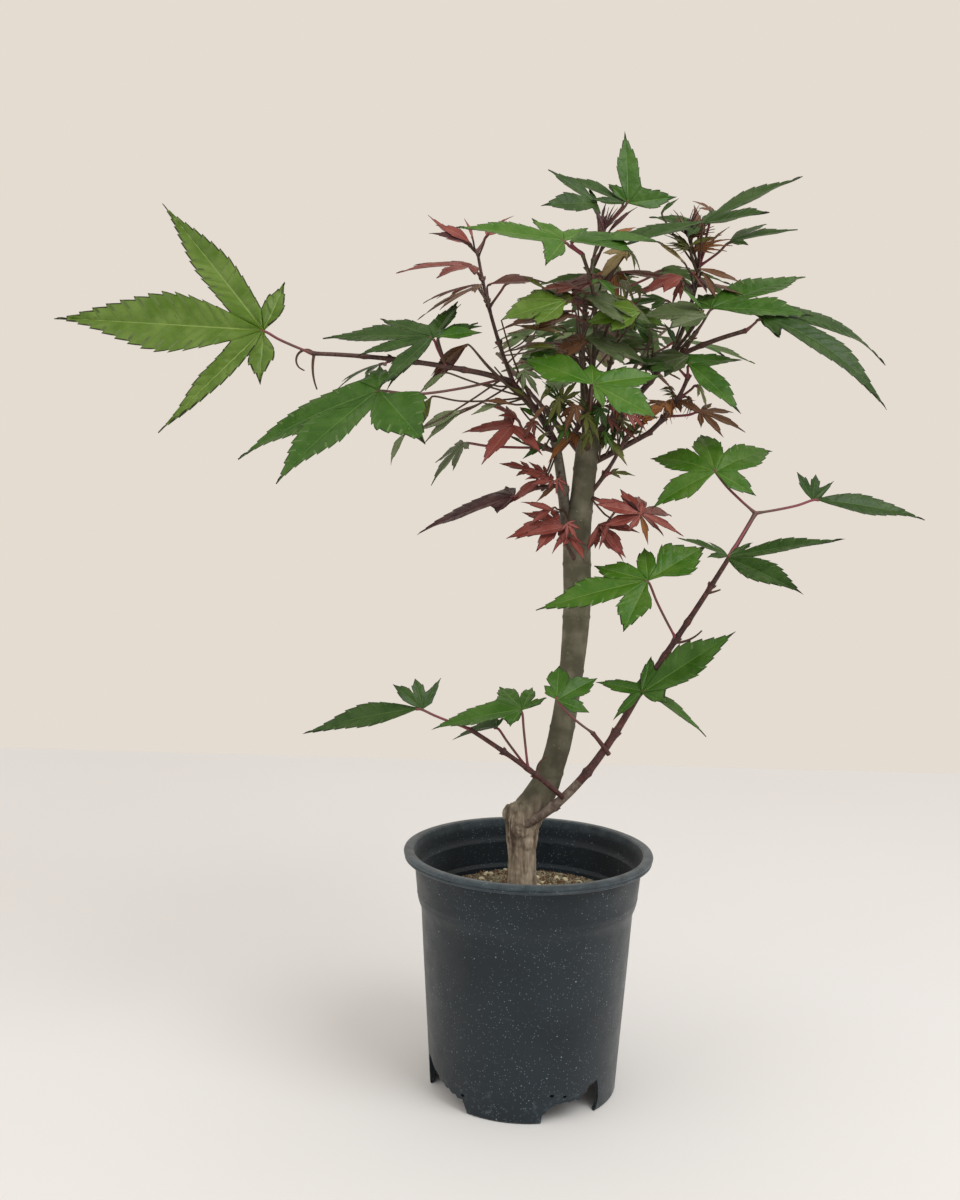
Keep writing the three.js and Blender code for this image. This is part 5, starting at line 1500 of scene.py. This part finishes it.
def rib_places(sides, reach):
    """How far out on the rib each row of a lobe starts, every row a little past the last."""
    places = []
    for pair in zip(*(rows for _, _, rows in sides)):
        place = max(RIB_FIRST * reach, np.mean([x - VEIN_SLANT * y for x, y, _, _ in pair]))
        if places:
            place = max(place, places[-1] + RIB_STEP * reach)
        places.append(place)
    return [min(place, RIB_LAST * reach) for place in places]


def lobe_lift(size, fold, reach, droop, wave_at):
    """A rule for how high a lobe stands: folded up from its rib, quilted between its veins,
    wavy at its edge and drooping to its tip."""
    def lift_at(x, y, c, place, out):
        swell = math.sin(math.pi * min(1, place / VEIN_PLACE)) * 4 * c * (1 - c)
        quilt = QUILT * (size / QUILT_SIZE) * swell * (QUILT_AT_VEIN if place > VEIN_PLACE else 1)
        wave = WAVE * size * math.sin(2 * math.pi * (WAVES * out + wave_at)) * c * c
        return fold * abs(y) + quilt + wave * out - droop * x * x / reach

    return lift_at


def corner_key(number, sign, seam, j, layer, c):
    """The name of a corner of a blade, the same for all parts that meet in it."""
    if c == 0:
        return "rib", number, j, layer
    if c < 1:
        return "blade", number, sign, j, layer, c
    if seam is not None and j < PALM_ROWS - 1:
        return "seam", seam, j, layer
    return "edge", seam if seam is not None and j == PALM_ROWS - 1 else (number, sign), j


def part_of(column, j, place, out):
    """The part of the upper face that starts at a column of a row."""
    if out > TIP_FROM or column == EDGE_COLUMN and out > 0:
        return "edge"
    if column == 0:
        return "rib"
    return "vein" if VEIN_PLACE < place < 1 and j >= PALM_ROWS else "upper"


class Blade:
    """A flat leaf blade, built lobe by lobe: upper and lower faces that meet along a toothed
    edge, with ribs and veins."""

    def __init__(self, kind, size, tint, draw):
        self.pattern = KINDS[kind]
        self.size = size
        self.tint = tint
        self.thick = BLADE_THICKNESS / 2 * (THICK_LEAST + size / THICK_GROWTH)
        self.flat, self.faces, self.finishes, self.known = [], [], [], {}
        self.heart = [
            self.corner(("heart", layer), 0, 0, 0, lift)
            for layer, lift in enumerate((self.thick, -self.thick))
        ]
        for number in range(len(self.pattern["lobes"])):
            self.add_lobe(number, draw)

    def corner(self, key, angle, x, y, lift):
        """A corner at a place along and across a lobe. Parts that meet in it ask for the same key."""
        if key not in self.known:
            self.known[key] = len(self.flat)
            a = math.radians(angle)
            self.flat.append((x * math.cos(a) - y * math.sin(a), x * math.sin(a) + y * math.cos(a), lift))
        return self.known[key]

    def add_face(self, ring, sign, layer, part):
        """A face turned outwards, unless its corners fall together."""
        ring = list(dict.fromkeys(ring))
        if len(ring) > 2:
            self.faces.append(ring if (sign > 0) == (layer == 0) else ring[::-1])
            self.finishes.append((self.tint, "under" if layer else part))

    def add_lobe(self, number, draw):
        """One lobe: both sides of its rib, row by row from the leaf's heart to the tip."""
        angle, share, *own_width = self.pattern["lobes"][number]
        reach = self.size * share
        half = reach * (own_width or [self.pattern["width"]])[0] * draw.uniform(*LOBE_WIDTHS)
        teeth = max(LEAST_TEETH, min(MOST_TEETH, round(reach * TOOTHED_SHARE / TOOTH_PITCH)))
        droop = draw.uniform(*LOBE_DROOPS)
        sweep = draw.uniform(*LOBE_SWEEPS)
        lift_at = lobe_lift(self.size, self.pattern.get("fold", FOLD), reach, droop, draw.random())
        lobe = dict(number=number, angle=angle, reach=reach, sweep=sweep, lift_at=lift_at)
        sides = []
        for sign in (1, -1):
            notch, seam = notch_of(self.pattern, self.size, number, sign)
            sides.append((sign, seam, edge_rows(reach, half, notch, teeth)))
        rib_x = rib_places(sides, reach)
        tip = self.corner(("tip", number), angle, reach, sweep * reach, lift_at(reach, 0, 0, 0, 1))
        for sign, seam, rows in sides:
            before = [[heart] * TOP_COLUMNS for heart in self.heart]
            for j, (row, rib) in enumerate(zip(rows, rib_x)):
                strip = self.strip(lobe, sign, seam, j, row, rib)
                for layer, (was, now) in enumerate(zip(before, strip)):
                    for k in range(len(now) - 1):
                        ring = [was[k], now[k], now[k + 1], was[k + 1]]
                        self.add_face(ring, sign, layer, part_of(k, j, *row[2:]))
                before = strip
            for layer, now in enumerate(before):
                for k in range(len(now) - 1):
                    self.add_face([now[k], tip, now[k + 1]], sign, layer, "edge")

    def strip(self, lobe, sign, seam, j, row, rib_x):
        """The corners from rib to edge across one row of a lobe, of its upper and lower faces."""
        edge_x, edge_y, place, out = row
        width = max(edge_y, RIB_ROOM)
        rib_width = RIB_WIDTH / 2 * (RIB_LEAST + self.size / RIB_GROWTH) * (1 - RIB_TAPER * out)
        rib = min(RIB_MOST, rib_width / width)
        edge_width = EDGE_WIDTH * (EDGE_LEAST + self.size / EDGE_GROWTH)
        margin = max(MARGIN_FROM, 1 - edge_width / width)
        on_seam = j < PALM_ROWS - 1 and seam is not None
        seam_left = (1 - (j + 1) / PALM_ROWS) / 2 if on_seam else 0
        corners = [[], []]
        for layer, columns in enumerate(((0, rib, (rib + margin) / 2, margin, 1), UNDER_COLUMNS)):
            for c in columns:
                x = rib_x * (1 - c) + edge_x * c
                y = sign * edge_y * c
                swept = y + lobe["sweep"] * x * x / lobe["reach"] * (out > 0)
                depth = self.thick * ((1 - c) ** THIN_OUT + seam_left * c) * (1 - THIN_TIP * out)
                lift = lobe["lift_at"](x, y, c, place, out) + (-depth if layer else depth)
                key = corner_key(lobe["number"], sign, seam, j, layer, c)
                corners[layer].append(self.corner(key, lobe["angle"], x, swept, lift))
        return corners


def leaf_blade(heap, kind, base, shape, tint, draw):
    """One leaf blade, bent and set in its place."""
    blade = Blade(kind, shape[0], tint, draw)
    points = leaf_place(kind, base, shape)(np.array(blade.flat))
    heap.add([tuple(point) for point in points], blade.faces, blade.finishes)


def leaf_stalk(heap, root, base, heading, rise, draw, radius, finish):
    """A slender stalk, thick at its foot, that bows a little and runs on into the blade."""
    reach = base - root
    bow = Vector((0, 0, -1)) * reach.length * draw.uniform(*STALK_BOWS)
    path = [
        root, *(root + reach * far + bow * share for far, share in STALK_BENDS),
        base - reach.normalized() * STALK_END, base + direction(heading, rise) * STALK_INTO_BLADE,
    ]
    fine = fine_path(path, STALK_SMOOTHING)
    radii = []
    for i in range(len(fine)):
        share = i / (len(fine) - 1)
        foot = STALK_FOOT * hump(share * reach.length, STALK_FOOT_LENGTH)
        head = STALK_HEAD * hump((1 - share) * reach.length, STALK_HEAD_LENGTH)
        radii.append(radius * (STALK_WAIST + foot + head))
    tube(heap, fine, radii, STALK_SIDES, finish_along(finish))


def seeded(seed):
    """A repeatable run of numbers from 0 to 1, the same that the spray's solid is made by."""
    state = seed * SEED_STEP + SEED_START
    while True:
        state = (state * RUN_FACTOR) % RUN_LENGTH
        yield state / RUN_LENGTH


def stands_in_solid(node, place):
    """True where a spray's solid has a leaf's tip at a place in millimetres."""
    if node not in solid_trees:
        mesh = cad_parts[node].data
        corners = [vertex.co.copy() for vertex in mesh.vertices]
        solid_trees[node] = BVHTree.FromPolygons(corners, [tuple(p.vertices) for p in mesh.polygons])
    distance = solid_trees[node].find_nearest(at_plant(place))[3]
    return distance is not None and distance < TIP_NEAR


def seeded_leaves(name, plan, path):
    """The spray's leaves in opposite pairs, each drawn again until its tip is on the solid.
    Those that would stand in open sky are taken off."""
    run = seeded(plan["seed"])
    rows = []
    for slot in range(plan["pairs"] * 2):
        place = between(PAIR_FROM, 1, (slot // 2) / (plan["pairs"] - 1))
        side = 1 if slot % 2 else -1
        for _ in range(PAIR_TRIES):
            way = between(*plan["heading"], place) + side * between(*PAIR_SPREAD, next(run))
            kind = PAIR_KINDS[int(next(run) * len(PAIR_KINDS))]
            stalk = between(*PAIR_STALK, next(run))
            stalk_rise = between(*PAIR_RISE, next(run))
            size, droop, turned, curl = (
                between(*span, next(run)) for span in (PAIR_BLADE, PAIR_DROOP, PAIR_ROLL, PAIR_CURL)
            )
            shape = (size, way - side * PAIR_TURN, droop, turned, curl)
            base = point_on(path, place) + direction(way, stalk_rise) * stalk
            tip = leaf_place(kind, base, shape)(np.array([[size, 0, 0]]))[0]
            if stands_in_solid(name, tip):
                tint = PAIR_TINTS[(slot + plan["seed"]) % len(PAIR_TINTS)]
                rows.append((tint, kind, place, stalk, way, stalk_rise, *shape))
                break
    return [row for number, row in enumerate(rows) if number not in plan.get("open_to_sky", ())]


def leaf_finish(name, part, colour, mottle=None):
    """The finish of one part of a leaf, gently rippled, and mottled where a second colour is given."""
    material, tree, shader = finish_of(f"leaf_{name}_{part}", colour, LEAF_ROUGHNESS[part], LEAF_GLOSS)
    if mottle:
        share = patches_of(tree, scale=90, detail=4, low=0.4, high=0.68, most=0.5)
        tree.links.new(mixed(tree, share, colour, mottle), shader.inputs["Base Color"])
    bumped(tree, shader, noise_of(tree, scale=190, detail=3), strength=0.55, distance=0.0016)
    return material


blade_finishes = {}
for name, (upper, rib, edge, under) in TINTS.items():
    vein, tree, shader = finish_of(f"leaf_{name}_vein", upper, LEAF_ROUGHNESS["vein"], LEAF_GLOSS)
    vein_colour = [between(a, b, VEIN_SHARE) for a, b in zip(paint(upper), paint(rib))]
    shader.inputs["Base Color"].default_value = vein_colour
    blade_finishes[name, "upper"] = leaf_finish(name, "upper", upper, rib)
    blade_finishes[name, "vein"] = vein
    blade_finishes[name, "rib"] = leaf_finish(name, "rib", rib)
    blade_finishes[name, "edge"] = leaf_finish(name, "edge", edge)
    blade_finishes[name, "under"] = leaf_finish(name, "under", under, edge)

solid_trees = {}
stem_heap, stalk_heap, leaf_heaps, nodes_of = Heap(), Heap(), {}, {}
for name, plan in SPRAYS.items():
    draw = random.Random(name)
    path, sunk_path = grown(plan, SPRAY_SUNK)
    limbs[name] = path
    rows = plan.get("leaves") or seeded_leaves(name, plan, path)
    nodes = sorted({row[2] for row in rows} | set(node_shares(plan["length"])))
    young = SHOOT_BARKS[plan["group"]]
    limb(stem_heap, sunk_path, plan["radius"], finish_along(young), nodes)
    for row in rows:
        tint, kind, place, stalk, stalk_heading, stalk_rise, *shape = row[:11]
        root = point_on(path, place)
        way = direction(stalk_heading, stalk_rise)
        base = root + way * stalk
        size, heading, rise, leaf_roll, curl = shape
        leaf_stalk(stalk_heap, root, base, heading, rise, draw, STALK_RADIUS, "stalk")
        family = "red" if tint in RED_TINTS else plan["group"]
        heap = leaf_heaps.setdefault(family, Heap())
        nodes_of.setdefault(family, set()).add(name)
        for number, (pattern, *blade) in enumerate([(kind, *shape), *row[11:]]):
            leaf_blade(heap, pattern, base - way * (number * BLADE_STEP), blade, tint, draw)

draw = random.Random("inner crown")
for name, place, foot, tint, kind, size, heading, rise, leaf_roll, curl in FINE_LEAVES:
    heading += draw.uniform(-FINE_SWING, FINE_SWING)
    root = point_on(limbs[name], place)
    leaf_stalk(stalk_heap, root, Vector(foot), heading, rise, draw, FINE_STALK_RADIUS, "fine_stalk")
    heap = leaf_heaps["red" if tint in RED_TINTS else "top"]
    leaf_blade(heap, kind, foot, (size, heading, rise, leaf_roll, curl), tint, draw)
for name, place, heading, first_rise, last_rise, length in BARE_TWIGS:
    path = [point_on(limbs[name], place)]
    for step in range(TWIG_STEPS):
        rise = between(first_rise, last_rise, step / (TWIG_STEPS - 1))
        path.append(path[-1] + direction(heading, rise) * length / TWIG_STEPS)
    fine = fine_path(path, TWIG_SMOOTHING)
    tube(stem_heap, fine, np.linspace(*TWIG_RADIUS, len(fine)), TWIG_SIDES, finish_along("withered"))

stems = stem_heap.piece("young_shoots", limb_finishes, smooth_angle=60)
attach(stems, "root")
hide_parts(*SPRAYS)

stalk_finish, tree, shader = finish_of("leaf_stalk", STALK_MIDDLE, roughness=0.5)
share = patches_of(tree, scale=60, detail=2, low=0.4, high=0.62)
tree.links.new(mixed(tree, share, STALK_RED, STALK_BROWN), shader.inputs["Base Color"])
fine_stalk_finish = finish_of("brown_stalks", FINE_STALK_BROWN, roughness=0.55, specular=0.4)[0]
stalk_finishes = {"stalk": stalk_finish, "fine_stalk": fine_stalk_finish}
stalks = stalk_heap.piece("leaf_stalks", stalk_finishes, smooth_angle=60)
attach(stalks, "root")
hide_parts(*SPRAYS)

for family, heap in leaf_heaps.items():
    leaves = heap.piece(f"leaves_{family}", blade_finishes, smooth_angle=48)
    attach(leaves, "root")
    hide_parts(*sorted(nodes_of[family]))


# Floor and light
# A pale table top that ends behind the plant, a pale wall beyond it, a room that is brighter to
# the right, and a wide soft lamp from the right with a weaker one from the left.
FLOOR_PALE = "#e9e9ea"
FLOOR_GREY = "#e7e6e5"
WALL_PALE = "#e5dcd1"
ROOM_LEFT = "#d1ccc6"
ROOM_RIGHT = "#f2eee8"
TABLE_SIDE = 3000
TABLE_FRONT = -3500
TABLE_BACK = 717
TABLE_TURN = 1.2
# Where the room changes from its left to its right side and to the wall, from -1 to 1 across it
LEFT_TO_RIGHT = (-0.8, 0.8)
FRONT_TO_WALL = (-0.1, 0.4)
# Lamps: name, place in millimetres, width in metres and power
LAMPS = [
    ("key_lamp", (700, -650, 1250), 0.9, 9),
    ("fill_lamp", (-950, -500, 900), 1.2, 2.5),
]
LAMPS_AIM = (0, 0, 200)

floor_finish, tree, shader = finish_of("pale_floor", FLOOR_PALE, roughness=0.85, specular=0.2)
soft = patches_of(tree, scale=2, detail=2, low=0.3, high=0.7)
tree.links.new(mixed(tree, soft, FLOOR_PALE, FLOOR_GREY), shader.inputs["Base Color"])
slant = TABLE_SIDE * math.tan(math.radians(TABLE_TURN))
floor_corners = [
    (-TABLE_SIDE, TABLE_FRONT, 0), (TABLE_SIDE, TABLE_FRONT, 0),
    (TABLE_SIDE, TABLE_BACK - slant, 0), (-TABLE_SIDE, TABLE_BACK + slant, 0),
]
floor = piece_of("floor", [at_plant(c) for c in floor_corners], [[0, 1, 2, 3]], [floor_finish])

for name, place, size, power in LAMPS:
    lamp = bpy.data.objects.new(name, bpy.data.lights.new(name, "AREA"))
    bpy.context.collection.objects.link(lamp)
    lamp.data.shape = "DISK"
    lamp.data.size = size
    lamp.data.energy = power
    lamp.location = at_plant(place)
    lamp.rotation_mode = "QUATERNION"
    lamp.rotation_quaternion = (at_plant(LAMPS_AIM) - lamp.location).to_track_quat("-Z", "Y")

world = bpy.data.worlds.new("room")
bpy.context.scene.world = world
world.use_nodes = True
tree = world.node_tree
room = tree.nodes["Background"]
looked = tree.nodes.new("ShaderNodeTexCoord")
split = tree.nodes.new("ShaderNodeSeparateXYZ")
tree.links.new(looked.outputs["Generated"], split.inputs["Vector"])
sides = mixed(tree, ramp_of(tree, split.outputs["X"], *LEFT_TO_RIGHT), ROOM_LEFT, ROOM_RIGHT)
whole = mixed(tree, ramp_of(tree, split.outputs["Y"], *FRONT_TO_WALL), sides, WALL_PALE)
tree.links.new(whole, room.inputs["Color"])
room.inputs["Strength"].default_value = 1
bpy.context.scene.view_settings.view_transform = "Standard"
